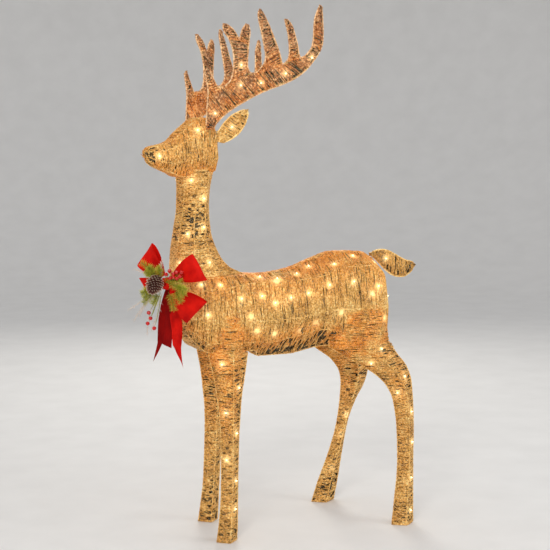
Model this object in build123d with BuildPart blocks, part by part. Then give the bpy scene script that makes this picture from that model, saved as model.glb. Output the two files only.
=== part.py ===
from build123d import *
import os
from math import cos, hypot, radians, sin

# Lit wire-frame yard reindeer, standing.  Millimetres, +Z up, the deer faces -X and its left side is -Y.
# Each section is a welded wire frame inside a thread wrap, with its own string of small bulbs, and the
# sections plug together with round pins in socket tubes.

# ---- driving dimensions -----------------------------------------------------------------------------
CENTRE_X = 19.4  # the middle of the whole piece, measured from the frame's own zero
CENTRE_Y = 55.5
WIRE_R = 2.0  # frame wire radius
WRAP = 2.0  # thickness of the thread wrap
ROD_DEPTH = 7.0  # depth of the long frame rods' centre line under the wrap's outer face
HOOP_DEPTH = 11.2  # depth of the hoops, inside the rods
WELD_GAP = 0.2

BULB_R = 2.4
BULB_OUT = 7.0  # how far a bulb stands out of the wrap
BULB_HOLE_R = 3.3
SOCKET_R = 3.2
SOCKET_IN = 3.0  # depth of the socket's mouth
CABLE_R = 1.0
BODY_SOCKET_DEPTH = 17.0
LEG_SOCKET_DEPTH = 14.0

PIN_R = 4.0
TUBE_IN_R = 4.5
TUBE_OUT_R = 6.0
PIN_HOLE_R = 6.5

LEG_TOP = 567.0
NECK_BASE = 798.5
NECK_AXIS_X = -265.0
HEAD_TURN = 14.0  # the head looks a little to the deer's left

PLATE = 12.0  # antler thickness
PLATE_WRAP = 1.5
EAR_PLATE = 10.0
TAIL_PLATE = 16.0

LEFT, RIGHT = -1, 1

# ---- section tables ---------------------------------------------------------------------------------
# Torso: x, then (half width, height) of the top, shoulder, side, flank and belly ribs.
TORSO = [
    (-334, (30, 795), (58, 772), (64, 712), (52, 676), (26, 662)),
    (-300, (66, 796), (92, 762), (98, 680), (82, 636), (50, 616)),
    (-250, (80, 796), (112, 762), (118, 662), (112, 604), (84, 572)),
    (-106, (30, 797), (88, 776), (122, 664), (108, 600), (80, 570)),
    (-60, (8, 796), (85, 777), (122, 664), (88, 592), (12, 541)),
    (30, (8, 806), (88, 779), (122, 668), (86, 606), (12, 541)),
    (120, (8, 836), (92, 788), (122, 683), (92, 622), (12, 555)),
    (194, (8, 856), (92, 813), (120, 685), (112, 612), (88, 571)),
    (290, (10, 852), (88, 814), (116, 683), (110, 612), (92, 571)),
    (342, (16, 817), (74, 788), (98, 682), (92, 618), (76, 572)),
    (368, (20, 750), (46, 734), (58, 680), (54, 632), (42, 594)),
]
# Neck: height, turn in degrees, front and rear from the neck axis, half width in front and behind.
NECK = [
    (NECK_BASE, 0, -69, 152, 74, 54),
    (822, 0, -70, 104, 72, 52),
    (860, 2, -69, 72, 66, 52),
    (937, 6, -60, 45, 54, 46),
    (1003, 10, -51, 41, 49, 44),
    (1060, 14, -50, 46, 49, 44),
    (1117, 14, -54, 60, 50, 44),
    (1180, 14, -30, 62, 42, 40),
]
# Head: distance forward of the neck axis, then (half width, height) of the top, brow, cheek and jaw ribs.
HEAD = [
    (-61, (14, 1214), (30, 1198), (36, 1150), (24, 1120)),
    (-41, (22, 1268), (46, 1235), (54, 1155), (34, 1108)),
    (-10, (26, 1270), (50, 1232), (60, 1155), (36, 1100)),
    (32, (26, 1246), (46, 1215), (55, 1148), (34, 1096)),
    (62, (22, 1225), (41, 1197), (47, 1142), (28, 1097)),
    (96, (17, 1199), (32, 1180), (36, 1138), (20, 1110)),
    (124, (15, 1190), (27, 1173), (29, 1140), (16, 1120)),
    (155, (13, 1185), (21, 1171), (22, 1148), (13, 1134)),
    (172, (8, 1177), (11, 1170), (11, 1158), (8, 1150)),
]
# Legs: height, front and rear x, middle y, half thickness.
FRONT_LEFT_LEG = [
    (LEG_TOP, -252, -124, 76, 42),
    (494, -237, -137, 82, 36),
    (434, -229, -149, 87, 32),
    (362, -222, -157, 92, 28),
    (293, -221, -163, 97, 26),
    (147, -225, -170, 106, 24),
    (50, -235, -174, 112, 25),
    (0, -243, -177, 114, 29),
]
# The front right leg stands further back, and its foot a little more.
FRONT_RIGHT_LEG = [
    (z, front + 26 - z / 80, rear + 26 - z / 80, middle, half)
    for z, front, rear, middle, half in FRONT_LEFT_LEG
]
REAR_LEFT_LEG = [
    (LEG_TOP, 144, 360, 82, 46),
    (534, 196, 382, 88, 46),
    (485, 281, 417, 97, 40),
    (435, 336, 429, 107, 34),
    (388, 356, 428, 117, 31),
    (310, 362, 424, 131, 28),
    (200, 358, 415, 146, 26),
    (60, 337, 407, 162, 25),
    (0, 327, 404, 168, 29),
]
REAR_RIGHT_LEG = [
    (LEG_TOP, 144, 360, 82, 46),
    (534, 186, 378, 88, 46),
    (493, 244, 386, 96, 40),
    (446, 279, 384, 106, 36),
    (401, 289, 375, 115, 32),
    (348, 290, 350, 125, 28),
    (273, 285, 326, 136, 26),
    (179, 264, 313, 148, 24),
    (60, 226, 301, 164, 25),
    (0, 209, 290, 170, 29),
]
# Bulbs: place along the stations, panel, share of the way across the panel.
LEFT_TORSO_BULBS = [
    (0.55, 2, 0.5), (1.45, 1, 0.55), (1.7, 2, 0.75), (2.2, 1, 0.7), (2.65, 2, 0.35), (3.4, 2, 0.35),
    (3.75, 1, 0.45), (4.15, 2, 0.55), (4.4, 1, 0.8), (4.75, 2, 0.45), (5.2, 1, 0.6), (5.4, 2, 0.4),
    (5.75, 1, 0.35), (6.25, 2, 0.3), (6.7, 1, 0.7), (7.3, 2, 0.35), (7.6, 1, 0.35), (8.4, 2, 0.45),
    (8.6, 1, 0.5), (9.4, 1, 0.7), (9.5, 2, 0.6),
]
LEFT_NECK_BULBS = [(1.5, 0, 0.2), (1.5, 1, 0.73), (2.87, 0, 0.57), (3.14, 1, 0.8), (4.5, 1, 0.7), (5.45, 0, 0.53)]
LEFT_HEAD_BULBS = [(2.6, 7, 0.33), (6.5, 6, 0.5)]
FRONT_LEG_BULBS = [
    (0.4, 0, 0.5), (1.5, 1, 0.5), (2.6, 0, 0.5), (3.5, 1, 0.45), (4.3, 0, 0.5), (4.75, 1, 0.5), (5.5, 1, 0.5),
]
REAR_LEG_BULBS = [
    (0.5, 1, 0.45), (1.5, 0, 0.5), (2.5, 1, 0.5), (3.5, 0, 0.5), (4.5, 1, 0.5), (5.5, 1, 0.5), (6.4, 1, 0.45),
    (7.3, 1, 0.5),
]

# Antler outline in its own plane: backward along the beam, and up, from the root.
ANTLER = [
    (-8, 0), (-7, 58), (-6, 111), (-20, 168), (-12, 176), (-4, 166), (20, 126), (34, 118), (64, 140),
    (72, 172), (69, 221), (54, 261), (31, 289), (30, 304), (42, 306), (66, 290), (85, 262), (92, 292),
    (101, 307), (113, 304), (118, 288), (116, 251), (114, 190), (124, 166), (148, 166), (178, 206),
    (160, 271), (140, 336), (144, 352), (156, 345), (178, 310), (220, 228), (230, 192), (248, 206),
    (253, 232), (244, 286), (229, 326), (240, 326), (256, 310), (277, 257), (287, 214), (308, 222),
    (330, 252), (328, 333), (342, 372), (353, 366), (364, 271), (357, 238), (315, 180), (269, 147),
    (155, 105), (63, 53), (22, 14), (18, 0),
]
ANTLER_LEAN = 8.0  # tips lean outward
ANTLER_ROOT_BACK = 15.0
ANTLER_ROOT_UP = 1238.0
ANTLER_ROOT_OUT = 54.0
ANTLER_BULBS = [(16, 46), (94, 130), (92, 190), (160, 138), (240, 168), (325, 217)]
ANTLER_PIN_REACH = 58.0

EAR = [
    (-2, -6), (-6, 14), (8, 46), (34, 72), (64, 86), (80, 86), (82, 72), (74, 46), (58, 20), (32, 0), (12, -9),
]
EAR_SPREAD = 40.0  # the ears point back and outward
EAR_ROOT = (-56.0, 59.0, 1207.0)  # forward, outward, up
RIGHT_EAR_DROP = 24.0
EAR_HINGE = 10.4  # how far the hinge wire stands off the ear
EAR_BULB = (34, 36)

TAIL = [
    (346, 836), (350, 856), (380, 856), (408, 847), (434, 832), (460, 818), (488, 812), (496, 802),
    (486, 782), (462, 765), (434, 765), (410, 773), (388, 790), (366, 812),
]
TAIL_HINGE = (336.0, 843.0)
TAIL_BULB = (386, 826)

# Bow, in a plane that faces the deer's front left: across, up and outward.
BOW_FACING = 50.0
BOW_AT = (-368.0, -69.0)
KNOT = (-8.0, 785.0)
BOW_LOOPS = {
    "upper_left": [(-22, 814), (-14, 856), (-58, 894), (-106, 834), (-76, 806)],
    "left": [(-36, 790), (-100, 792), (-71, 757), (-38, 768)],
    "upper_right": [(10, 812), (77, 870), (123, 806), (90, 787), (22, 792)],
    "lower_right": [(20, 764), (90, 766), (124, 740), (58, 682), (18, 736)],
}
BOW_LOOP_BACK, BOW_LOOP_DEEP = -6.0, 34.0
BOW_TAILS = [
    [(-42, 742), (-62, 550), (-27, 602), (-2, 588), (0, 746)],
    [(4, 746), (18, 580), (40, 547), (46, 656), (30, 742)],
]
BOW_TAIL_BACK, BOW_TAIL_DEEP = -20.0, 12.0
BERRY_R = 6.0
BERRIES = [(8, 818), (22, 826), (36, 822), (26, 808), (46, 810), (-50, 700), (-44, 684), (-54, 668)]
SPRIGS = [(-74, 846, 8), (-66, 738, 5), (52, 778, 7), (-20, 832, 5), (30, 716, 5), (-86, 716, 4)]
CONE = (-25.0, 782.0)
CONE_BACK = 29.0
SPRAY_OUT = 34.0  # how far the berries and sprigs stand in front of the bow plane


# ---- geometry helpers -------------------------------------------------------------------------------
def at(x, y, z):
    """A point of the deer, moved so that the whole piece is centred on the origin."""
    return Vector(x - CENTRE_X, y - CENTRE_Y, z)


def inset(outline, depth):
    """The corners of a closed outline, each moved inward so that it lies `depth` from both its edges."""
    count = len(outline)
    area = sum(
        outline[i - 1][0] * outline[i][1] - outline[i][0] * outline[i - 1][1] for i in range(count)
    )
    turn = 1 if area > 0 else -1
    moved = []
    for i in range(count):
        (ax, ay), (bx, by), (cx, cy) = outline[i - 1], outline[i], outline[(i + 1) % count]
        first, second = hypot(bx - ax, by - ay), hypot(cx - bx, cy - by)
        n1 = (-turn * (by - ay) / first, turn * (bx - ax) / first)
        n2 = (-turn * (cy - by) / second, turn * (cx - bx) / second)
        share = depth / (1 + n1[0] * n2[0] + n1[1] * n2[1])
        moved.append((bx + share * (n1[0] + n2[0]), by + share * (n1[1] + n2[1])))
    return moved


def moved_along(plane, distance):
    return Plane(origin=plane.origin + plane.z_dir * distance, x_dir=plane.x_dir, z_dir=plane.z_dir)


def world(station, depth=0.0):
    """The corners of a station, in space, `depth` inside the wrap."""
    plane, outline = station
    return [plane.from_local_coords(Vector(u, v, 0)) for u, v in inset(outline, depth)]


def body_of(stations, depth=0.0, start_shift=0.0, end_shift=0.0):
    """A solid with flat facets through the stations, `depth` inside them, its two ends moved outward."""
    last = len(stations) - 1
    rings = []
    for i, (plane, outline) in enumerate(stations):
        shift = start_shift if i == 0 else end_shift if i == last else 0.0
        rings.append(world((moved_along(plane, shift), outline), depth))
    corners = [rings[0], rings[-1]]
    for near, far in zip(rings, rings[1:]):
        for k in range(len(near)):
            corners.append([near[k - 1], near[k], far[k]])
            corners.append([near[k - 1], far[k], far[k - 1]])
    with BuildPart() as body:
        add(Solid(Shell([Face(Wire.make_polygon(points)) for points in corners])))
    return body.part


def skin_spot(stations, along, panel, across):
    """The plane on the wrap's outer face at a place along the stations and across a panel, facing out."""
    i = int(along)
    t = along - i
    near, far = world(stations[i]), world(stations[i + 1])
    count = len(near)
    a, b = near[panel % count], near[(panel + 1) % count]
    c, d = far[panel % count], far[(panel + 1) % count]
    low, high = a + (b - a) * across, c + (d - c) * across
    point = low + (high - low) * t
    lengthwise = high - low
    crosswise = (b + (d - b) * t) - (a + (c - a) * t)
    normal = lengthwise.cross(crosswise).normalized()
    middle = sum(near + far, Vector(0, 0, 0)) * (1 / (2 * count))
    if normal.dot(point - middle) < 0:
        normal = normal * -1
    return Plane(origin=point, z_dir=normal)


def bends(points):
    """The points without those that lie in line with their neighbours."""
    kept = [points[0]]
    for i in range(1, len(points) - 1):
        if (points[i] - kept[-1]).get_angle(points[i + 1] - points[i]) > 0.8:
            kept.append(points[i])
    return kept + [points[-1]]


def wire_along(points, radius, closed=False):
    """A round wire along straight runs; a closed one meets itself in a butt weld halfway along a run."""
    if closed:
        middle = (points[0] + points[-1]) * 0.5
        gap = (points[0] - points[-1]).normalized() * (WELD_GAP / 2)
        points = [middle + gap] + points + [middle - gap]
    else:
        points = bends(points)
    with BuildPart() as wire:
        with BuildLine() as run:
            Polyline(*points)
        with BuildSketch(Plane(origin=run.line @ 0, z_dir=run.line % 0)):
            Circle(radius)
        sweep(transition=Transition.RIGHT)
    return wire.part


def bar_between(start, end, radius):
    """A straight round bar."""
    with BuildPart() as bar:
        with BuildSketch(Plane(origin=start, z_dir=end - start)):
            Circle(radius)
        extrude(amount=(end - start).length)
    return bar.part


def save(part, name):
    part.label = name
    export_step(part, f"parts/{name}.step")


def make_wrap(name, loft_sets, spots, pin_holes=()):
    """A thin closed skin around one or more lofts, with holes for its bulbs and for the pins."""
    with BuildPart() as skin:
        for stations, _, _ in loft_sets:
            add(body_of(stations))
        for stations, start_shift, end_shift in loft_sets:
            add(body_of(stations, WRAP, start_shift, end_shift), mode=Mode.SUBTRACT)
        if spots:
            with Locations(*[moved_along(spot, -3) for spot in spots]):
                Cylinder(BULB_HOLE_R, 14, mode=Mode.SUBTRACT)
        for hole in pin_holes:
            add(bar_between(*hole), mode=Mode.SUBTRACT)
    save(skin.part, name)


def make_frame(name, rod_sets, hoop_sets, pins=()):
    """The welded frame of a section: long rods under the wrap's edges and hoops inside them.

    A rod runs midway between the two corners that its pair names, so an edge rod names one corner twice.
    Where the section slopes steeply its rods lie deeper, by the numbers given for the first stations.
    """
    wires = []
    for stations, deeper, picks in rod_sets:
        deeper = deeper + [0] * (len(stations) - len(deeper))
        corners = [world(station, ROD_DEPTH + extra) for station, extra in zip(stations, deeper)]
        for first, second in picks:
            points = [(corner[first] + corner[second]) * 0.5 for corner in corners]
            wires.append(wire_along(points, WIRE_R))
    for stations, depth in hoop_sets:
        for station in stations:
            wires.append(wire_along(world(station, depth), WIRE_R, closed=True))
    with BuildPart() as frame:
        add(wires, clean=False)
        for start, end in pins:
            add(bar_between(start, end, PIN_R))
    save(frame.part, name)


def make_bulbs(name, spots):
    """Clear bulbs that stand out of the wrap, one solid each."""
    with BuildPart() as bulbs:
        with Locations(*[moved_along(spot, -SOCKET_IN + 0.1) for spot in spots]):
            Cylinder(BULB_R, BULB_OUT, align=(Align.CENTER, Align.CENTER, Align.MIN))
        with Locations(*[moved_along(spot, BULB_OUT - SOCKET_IN + 0.1) for spot in spots]):
            Cone(BULB_R, 0.8, SOCKET_IN - 0.1, align=(Align.CENTER, Align.CENTER, Align.MIN))
    save(bulbs.part, name)


def make_string(name, runs, socket_depth, side_step=0.0):
    """The bulb sockets and the cable that passes behind them."""
    with BuildPart() as string:
        spots = [spot for run in runs for spot in run]
        with Locations(*[moved_along(spot, -socket_depth) for spot in spots]):
            Cylinder(SOCKET_R, socket_depth - SOCKET_IN, align=(Align.CENTER, Align.CENTER, Align.MIN))
        for run in runs:
            behind = socket_depth + CABLE_R + 0.2
            if side_step:
                behind = socket_depth / 2 + 1
            points = [
                spot.origin - spot.z_dir * behind + spot.x_dir * side_step for spot in run
            ]
            add(wire_along(points, CABLE_R), clean=False)
    save(string.part, name)


# ---- stations ---------------------------------------------------------------------------------------
def torso_stations():
    stations = []
    for x, *ribs in TORSO:
        right = [(w, z) for w, z in ribs]
        left = [(-w, z) for w, z in ribs]
        plane = Plane(origin=at(x, 0, 0), x_dir=(0, 1, 0), z_dir=(1, 0, 0))
        stations.append((plane, [right[0]] + left + right[:0:-1]))
    return stations


def neck_stations():
    stations = []
    for z, turn, front, rear, wide_front, wide_rear in NECK:
        shoulder = front + 0.3 * (rear - front)
        haunch = front + 0.7 * (rear - front)
        half = [
            (front, 0.42 * wide_front), (shoulder, wide_front), (haunch, wide_rear),
            (rear, 0.34 * wide_rear),
        ]
        outline = [(u, -v) for u, v in half] + [(u, v) for u, v in reversed(half)]
        plane = Plane(
            origin=at(NECK_AXIS_X, 0, z), x_dir=(cos(radians(turn)), sin(radians(turn)), 0), z_dir=(0, 0, 1)
        )
        stations.append((plane, outline))
    return stations


FORWARD = Vector(-cos(radians(HEAD_TURN)), -sin(radians(HEAD_TURN)), 0)
OUTWARD = Vector(sin(radians(HEAD_TURN)), -cos(radians(HEAD_TURN)), 0)  # toward the deer's left


def head_point(forward, left, up):
    return at(NECK_AXIS_X, 0, up) + FORWARD * forward + OUTWARD * left


def head_stations():
    stations = []
    for forward, *ribs in HEAD:
        first = [(w, z) for w, z in ribs]
        second = [(-w, z) for w, z in ribs]
        plane = Plane(origin=head_point(forward, 0, 0), x_dir=OUTWARD, z_dir=FORWARD)
        stations.append((plane, [first[0]] + second + first[:0:-1]))
    return stations


def leg_stations(rows, side):
    stations = []
    for z, front, rear, middle, half in rows:
        mid = (front + rear) / 2
        outline = [
            (front, side * middle), (mid, side * (middle + half)), (rear, side * middle),
            (mid, side * (middle - half)),
        ]
        stations.append((Plane(origin=at(0, 0, z), z_dir=(0, 0, 1)), outline))
    return stations


# ---- torso ------------------------------------------------------------------------------------------
def leg_pin_places(rows, side):
    """Two pins on each leg top, in line with the deer."""
    _, front, rear, middle, _ = rows[0]
    length = rear - front
    return [at(front + share * length, side * middle, 0) for share in (0.36, 0.64)]


NECK_PIN_PLACES = [at(-276, 18, 0), at(-222, -18, 0)]
PIN_UP = 50.0
TUBE_UP = 58.0
PIN_ROOT = 70.0

LEGS = {
    "leg_front_left": (FRONT_LEFT_LEG, LEFT, FRONT_LEG_BULBS),
    "leg_front_right": (FRONT_RIGHT_LEG, RIGHT, FRONT_LEG_BULBS),
    "leg_rear_left": (REAR_LEFT_LEG, LEFT, REAR_LEG_BULBS),
    "leg_rear_right": (REAR_RIGHT_LEG, RIGHT, REAR_LEG_BULBS),
}


def make_torso():
    stations = torso_stations()
    count = len(stations[0][1])
    left = [skin_spot(stations, *bulb) for bulb in LEFT_TORSO_BULBS]
    right = [skin_spot(stations, along + 0.04, count - panel, 1 - across)
             for along, panel, across in LEFT_TORSO_BULBS]
    spots = left + right
    leg_pins = [place for rows, side, _ in LEGS.values() for place in leg_pin_places(rows, side)]
    up = Vector(0, 0, 1)
    holes = [(place + up * (LEG_TOP - 5), place + up * (LEG_TOP + 40), PIN_HOLE_R) for place in leg_pins]
    holes += [(place + up * (NECK_BASE - 12), place + up * (NECK_BASE + 6), PIN_HOLE_R)
              for place in NECK_PIN_PLACES]
    hinge_x, hinge_z = TAIL_HINGE
    for y in (-9, 9):
        holes.append((at(hinge_x, y, hinge_z - 34), at(hinge_x, y, hinge_z), 3.0))
    make_wrap("torso_wrap", [(stations, WRAP, -WRAP)], spots, holes)

    inner = [(moved_along(stations[0][0], 5), stations[0][1])] + stations[1:-1]
    inner.append((moved_along(stations[-1][0], -5), stations[-1][1]))
    make_frame(
        "torso_frame",
        [(inner, [3], [(0, 1), (2, 2), (3, 3), (4, 4), (5, 6), (7, 7), (8, 8), (9, 9)])],
        [(stations[2:-2], HOOP_DEPTH + 0.8)],
    )
    make_bulbs("torso_bulbs", spots)
    make_string("torso_light_string", [left, right], BODY_SOCKET_DEPTH)

    with BuildPart() as tubes:
        for place in leg_pins:
            foot, top = place + up * (LEG_TOP + 8), place + up * (LEG_TOP + TUBE_UP)
            add(bar_between(foot, top, TUBE_OUT_R))
            add(bar_between(foot, top - up * 3, TUBE_IN_R), mode=Mode.SUBTRACT)
    save(tubes.part, "leg_socket_tubes")
    with BuildPart() as tubes:
        for place in NECK_PIN_PLACES:
            foot, top = place + up * (NECK_BASE - TUBE_UP), place + up * (NECK_BASE - 8)
            add(bar_between(foot, top, TUBE_OUT_R))
            add(bar_between(foot + up * 3, top, TUBE_IN_R), mode=Mode.SUBTRACT)
    save(tubes.part, "neck_socket_tubes")
    with BuildPart() as lugs:
        for y in (-9, 9):
            add(bar_between(at(hinge_x, y, hinge_z - 26), at(hinge_x, y, hinge_z), 1.6))
        add(bar_between(at(hinge_x, -11, hinge_z), at(hinge_x, 11, hinge_z), 2.0))
    save(lugs.part, "tail_hinge_wire")


# ---- neck and head ----------------------------------------------------------------------------------
def antler_plane(side):
    """The antler's own plane: x back along the beam, y up, z away from the head."""
    spread, drop = (12.0, 0.0) if side == LEFT else (16.0, 12.0)
    out = OUTWARD * (1 if side == LEFT else -1)
    root_out = ANTLER_ROOT_OUT if side == LEFT else ANTLER_ROOT_OUT + 2
    root = head_point(-ANTLER_ROOT_BACK, 0, ANTLER_ROOT_UP) + out * root_out
    s, c = sin(radians(spread)), cos(radians(spread))
    back = FORWARD * -c + out * s
    away = FORWARD * s + out * c
    lean = radians(ANTLER_LEAN)
    up = Vector(0, 0, cos(lean)) + away * sin(lean)
    pitch = radians(drop)
    along = back * cos(pitch) - up * sin(pitch)
    normal = away * cos(lean) - Vector(0, 0, sin(lean))
    return Plane(origin=root, x_dir=along, z_dir=normal if side == LEFT else normal * -1)


def in_antler(side, x, y, out=0.0):
    """A point given back along the beam, up and away from the head."""
    plane = antler_plane(side)
    flip = 1 if side == LEFT else -1
    return plane.origin + plane.x_dir * x + plane.y_dir * y + plane.z_dir * (flip * out)


def ear_plane(side):
    """The ear's own plane: x back and outward, y up."""
    out = OUTWARD * (1 if side == LEFT else -1)
    forward, outward, up = EAR_ROOT
    if side == RIGHT:
        up -= RIGHT_EAR_DROP
    s, c = sin(radians(EAR_SPREAD)), cos(radians(EAR_SPREAD))
    return Plane(
        origin=head_point(forward, 0, up) + out * outward,
        x_dir=FORWARD * -c + out * s,
        z_dir=(FORWARD * s + out * c) * (1 if side == LEFT else -1),
    )


def make_neck_head():
    neck, head = neck_stations(), head_stations()
    neck_left = [skin_spot(neck, *bulb) for bulb in LEFT_NECK_BULBS]
    neck_right = [skin_spot(neck, along, 6 - panel, 1 - across) for along, panel, across in LEFT_NECK_BULBS]
    head_left = [skin_spot(head, *bulb) for bulb in LEFT_HEAD_BULBS]
    head_right = [skin_spot(head, along, 8 - panel, 1 - across) for along, panel, across in LEFT_HEAD_BULBS]
    spots = neck_left + neck_right + head_left + head_right
    holes = []
    for side in (LEFT, RIGHT):
        holes.append((in_antler(side, 5, -ANTLER_PIN_REACH - 12), in_antler(side, 5, 6), 5.4))
        ear = ear_plane(side)
        for z in (-8, 22):
            start = ear.origin - ear.x_dir * 31 + Vector(0, 0, z)
            holes.append((start, start + ear.x_dir * 20, 3.0))
    make_wrap("neck_head_wrap", [(neck, -WRAP, -WRAP), (head, WRAP, -WRAP)], spots, holes)

    neck_rods = [(moved_along(neck[0][0], 4), neck[0][1])] + neck[1:-2]
    head_rods = [(moved_along(head[0][0], 6), head[0][1])] + head[1:-1]
    head_rods.append((moved_along(head[-1][0], -6), head[-1][1]))
    make_frame(
        "neck_head_frame",
        [
            (neck_rods, [13, 6, 2], [(0, 7), (1, 1), (2, 2), (3, 4), (5, 5), (6, 6)]),
            (head_rods, [7, 4], [(0, 1), (3, 3), (6, 6)]),
        ],
        [(neck[2:-2], HOOP_DEPTH), (head[3:6], HOOP_DEPTH)],
    )
    make_bulbs("neck_head_bulbs", spots)
    make_string("neck_head_light_string", [neck_left, neck_right, head_left, head_right], 15.0)
    up = Vector(0, 0, 1)
    with BuildPart() as pins:
        for place in NECK_PIN_PLACES:
            add(bar_between(place + up * (NECK_BASE - PIN_UP), place + up * (NECK_BASE + PIN_ROOT), PIN_R))
        start, end = (place + up * (NECK_BASE + PIN_ROOT - 8) for place in NECK_PIN_PLACES)
        add(bar_between(start, end, 3.0))
    save(pins.part, "neck_pins")
    with BuildPart() as tubes:
        for side in (LEFT, RIGHT):
            mouth = in_antler(side, 5, -24)
            add(bar_between(in_antler(side, 5, -ANTLER_PIN_REACH - 6), mouth, 4.8))
            add(bar_between(in_antler(side, 5, -ANTLER_PIN_REACH - 3), mouth, 3.2), mode=Mode.SUBTRACT)
    save(tubes.part, "antler_socket_tubes")
    with BuildPart() as wires:
        for side in (LEFT, RIGHT):
            plane = ear_plane(side)
            root = plane.origin - plane.x_dir * EAR_HINGE
            inner = root - plane.x_dir * 18
            for z in (-8, 22):
                add(bar_between(inner + up * z, root + up * z, 1.2))
            add(bar_between(root + up * -11, root + up * 25, 1.5))
    save(wires.part, "ear_hinge_wires")


# ---- flat sections: antlers, ears and tail ----------------------------------------------------------
def make_plate(name, plane, outline, thick, corner, wrap, bulb_spots, pin_holes=()):
    """A flat section: a thin wrap on both faces of a closed wire outline."""
    with BuildPart() as skin:
        with BuildSketch(plane):
            with BuildLine():
                Polyline(*outline, close=True)
            make_face()
            fillet(vertices(), corner)
        extrude(amount=thick / 2, both=True)
        with BuildSketch(plane):
            with BuildLine():
                Polyline(*inset(outline, wrap), close=True)
            make_face()
        extrude(amount=thick / 2 - wrap, both=True, mode=Mode.SUBTRACT)
        if bulb_spots:
            with Locations(*[moved_along(spot, -1) for spot in bulb_spots]):
                Cylinder(BULB_HOLE_R, 3.4, mode=Mode.SUBTRACT)
        for hole in pin_holes:
            add(bar_between(*hole), mode=Mode.SUBTRACT)
    save(skin.part, name)


def make_rim(name, plane, outline, depth, half, eyes=()):
    """The closed square bar that runs inside a flat section's edge, with the eyes that hang it, if any."""
    with BuildPart() as rim:
        with BuildSketch(plane):
            for reach, mode in ((depth - half, Mode.ADD), (depth + half, Mode.SUBTRACT)):
                with BuildLine():
                    Polyline(*inset(outline, reach), close=True)
                make_face(mode=mode)
        extrude(amount=half, both=True)
        for start, end, inner, outer in eyes:
            with BuildSketch(Plane(origin=start, z_dir=end - start)):
                Circle(outer)
                Circle(inner, mode=Mode.SUBTRACT)
            extrude(amount=(end - start).length)
    save(rim.part, name)


def make_antlers():
    for side, word in ((LEFT, "left"), (RIGHT, "right")):
        name = f"antler_{word}"
        plane = antler_plane(side)
        flip = 1 if side == LEFT else -1
        face = plane.z_dir * (flip * PLATE / 2)
        spots = [Plane(origin=in_antler(side, x, y) + face, x_dir=plane.x_dir, z_dir=plane.z_dir * flip)
                 for x, y in ANTLER_BULBS]
        pin_top, pin_foot = in_antler(side, 5, 2.3), in_antler(side, 5, -ANTLER_PIN_REACH + 2)
        holes = [(in_antler(side, 5, -4), in_antler(side, 5, 2.4), 3.4)]
        make_plate(f"{name}_wrap", plane, ANTLER, PLATE, 2.5, PLATE_WRAP, spots, holes)
        make_rim(f"{name}_frame", plane, ANTLER, 4.0, 1.5)
        make_bulbs(f"{name}_bulbs", spots)
        make_string(f"{name}_light_string", [spots[:3], spots[3:]], PLATE - 2.6, SOCKET_R + CABLE_R + 0.3)
        with BuildPart() as pin:
            add(bar_between(pin_foot, pin_top, 2.8))
        save(pin.part, f"{name}_pin")


def make_ears():
    for side, word in ((LEFT, "left"), (RIGHT, "right")):
        name = f"ear_{word}"
        plane = ear_plane(side)
        flip = 1 if side == LEFT else -1
        face = plane.z_dir * (flip * EAR_PLATE / 2)
        bulb_x, bulb_y = EAR_BULB
        spot = Plane(
            origin=plane.from_local_coords(Vector(bulb_x, bulb_y, 0)) + face,
            x_dir=plane.x_dir,
            z_dir=plane.z_dir * flip,
        )
        make_plate(f"{name}_wrap", plane, EAR, EAR_PLATE, 2.5, PLATE_WRAP, [spot])
        root = plane.origin - plane.x_dir * EAR_HINGE
        eyes = [(root + Vector(0, 0, z), root + Vector(0, 0, z + 6), 2.2, 4.2) for z in (-5, 13)]
        make_rim(f"{name}_frame", plane, EAR, 3.6, 1.4, eyes)
        make_bulbs(f"{name}_bulb", [spot])


def make_tail():
    plane = Plane(origin=at(0, 0, 0), x_dir=(1, 0, 0), z_dir=(0, -1, 0))
    bulb_x, bulb_z = TAIL_BULB
    spot = Plane(
        origin=at(bulb_x, -TAIL_PLATE / 2, bulb_z), x_dir=(1, 0, 0), z_dir=(0, -1, 0)
    )
    make_plate("tail_wrap", plane, TAIL, TAIL_PLATE, 4.0, PLATE_WRAP, [spot])
    hinge_x, hinge_z = TAIL_HINGE
    eye = (at(hinge_x, -5, hinge_z), at(hinge_x, 5, hinge_z), 2.5, 4.6)
    make_rim("tail_frame", plane, TAIL, 4.0, 1.8, [eye])
    make_bulbs("tail_bulb", [spot])


# ---- legs -------------------------------------------------------------------------------------------
def make_legs():
    up = Vector(0, 0, 1)
    for name, (rows, side, bulbs) in LEGS.items():
        stations = leg_stations(rows, side)
        spots = [skin_spot(stations, *bulb) for bulb in bulbs]
        make_wrap(f"{name}_wrap", [(stations, WRAP, WRAP)], spots)
        rods = [(moved_along(stations[0][0], -4), stations[0][1])] + stations[1:-1]
        rods.append((moved_along(stations[-1][0], 5), stations[-1][1]))
        places = leg_pin_places(rows, side)
        pins = [(place + up * (LEG_TOP - 20), place + up * (LEG_TOP + PIN_UP)) for place in places]
        steep = [7, 7, 3] if "rear" in name else [1]
        make_frame(
            f"{name}_frame",
            [(rods, steep, [(0, 0), (1, 1), (2, 2), (3, 3)])],
            [(stations[2:-1:2], HOOP_DEPTH)],
            pins,
        )
        make_bulbs(f"{name}_bulbs", spots)
        make_string(f"{name}_light_string", [spots], LEG_SOCKET_DEPTH)


# ---- bow --------------------------------------------------------------------------------------------
FACING = Vector(-sin(radians(BOW_FACING)), -cos(radians(BOW_FACING)), 0)
ACROSS = Vector(cos(radians(BOW_FACING)), -sin(radians(BOW_FACING)), 0)


def bow_plane(out):
    origin = at(BOW_AT[0], BOW_AT[1], 0) + FACING * out
    return Plane(origin=origin, x_dir=ACROSS, z_dir=FACING)


def bow_point(across, up, out):
    return bow_plane(out).from_local_coords(Vector(across, up, 0))


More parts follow.
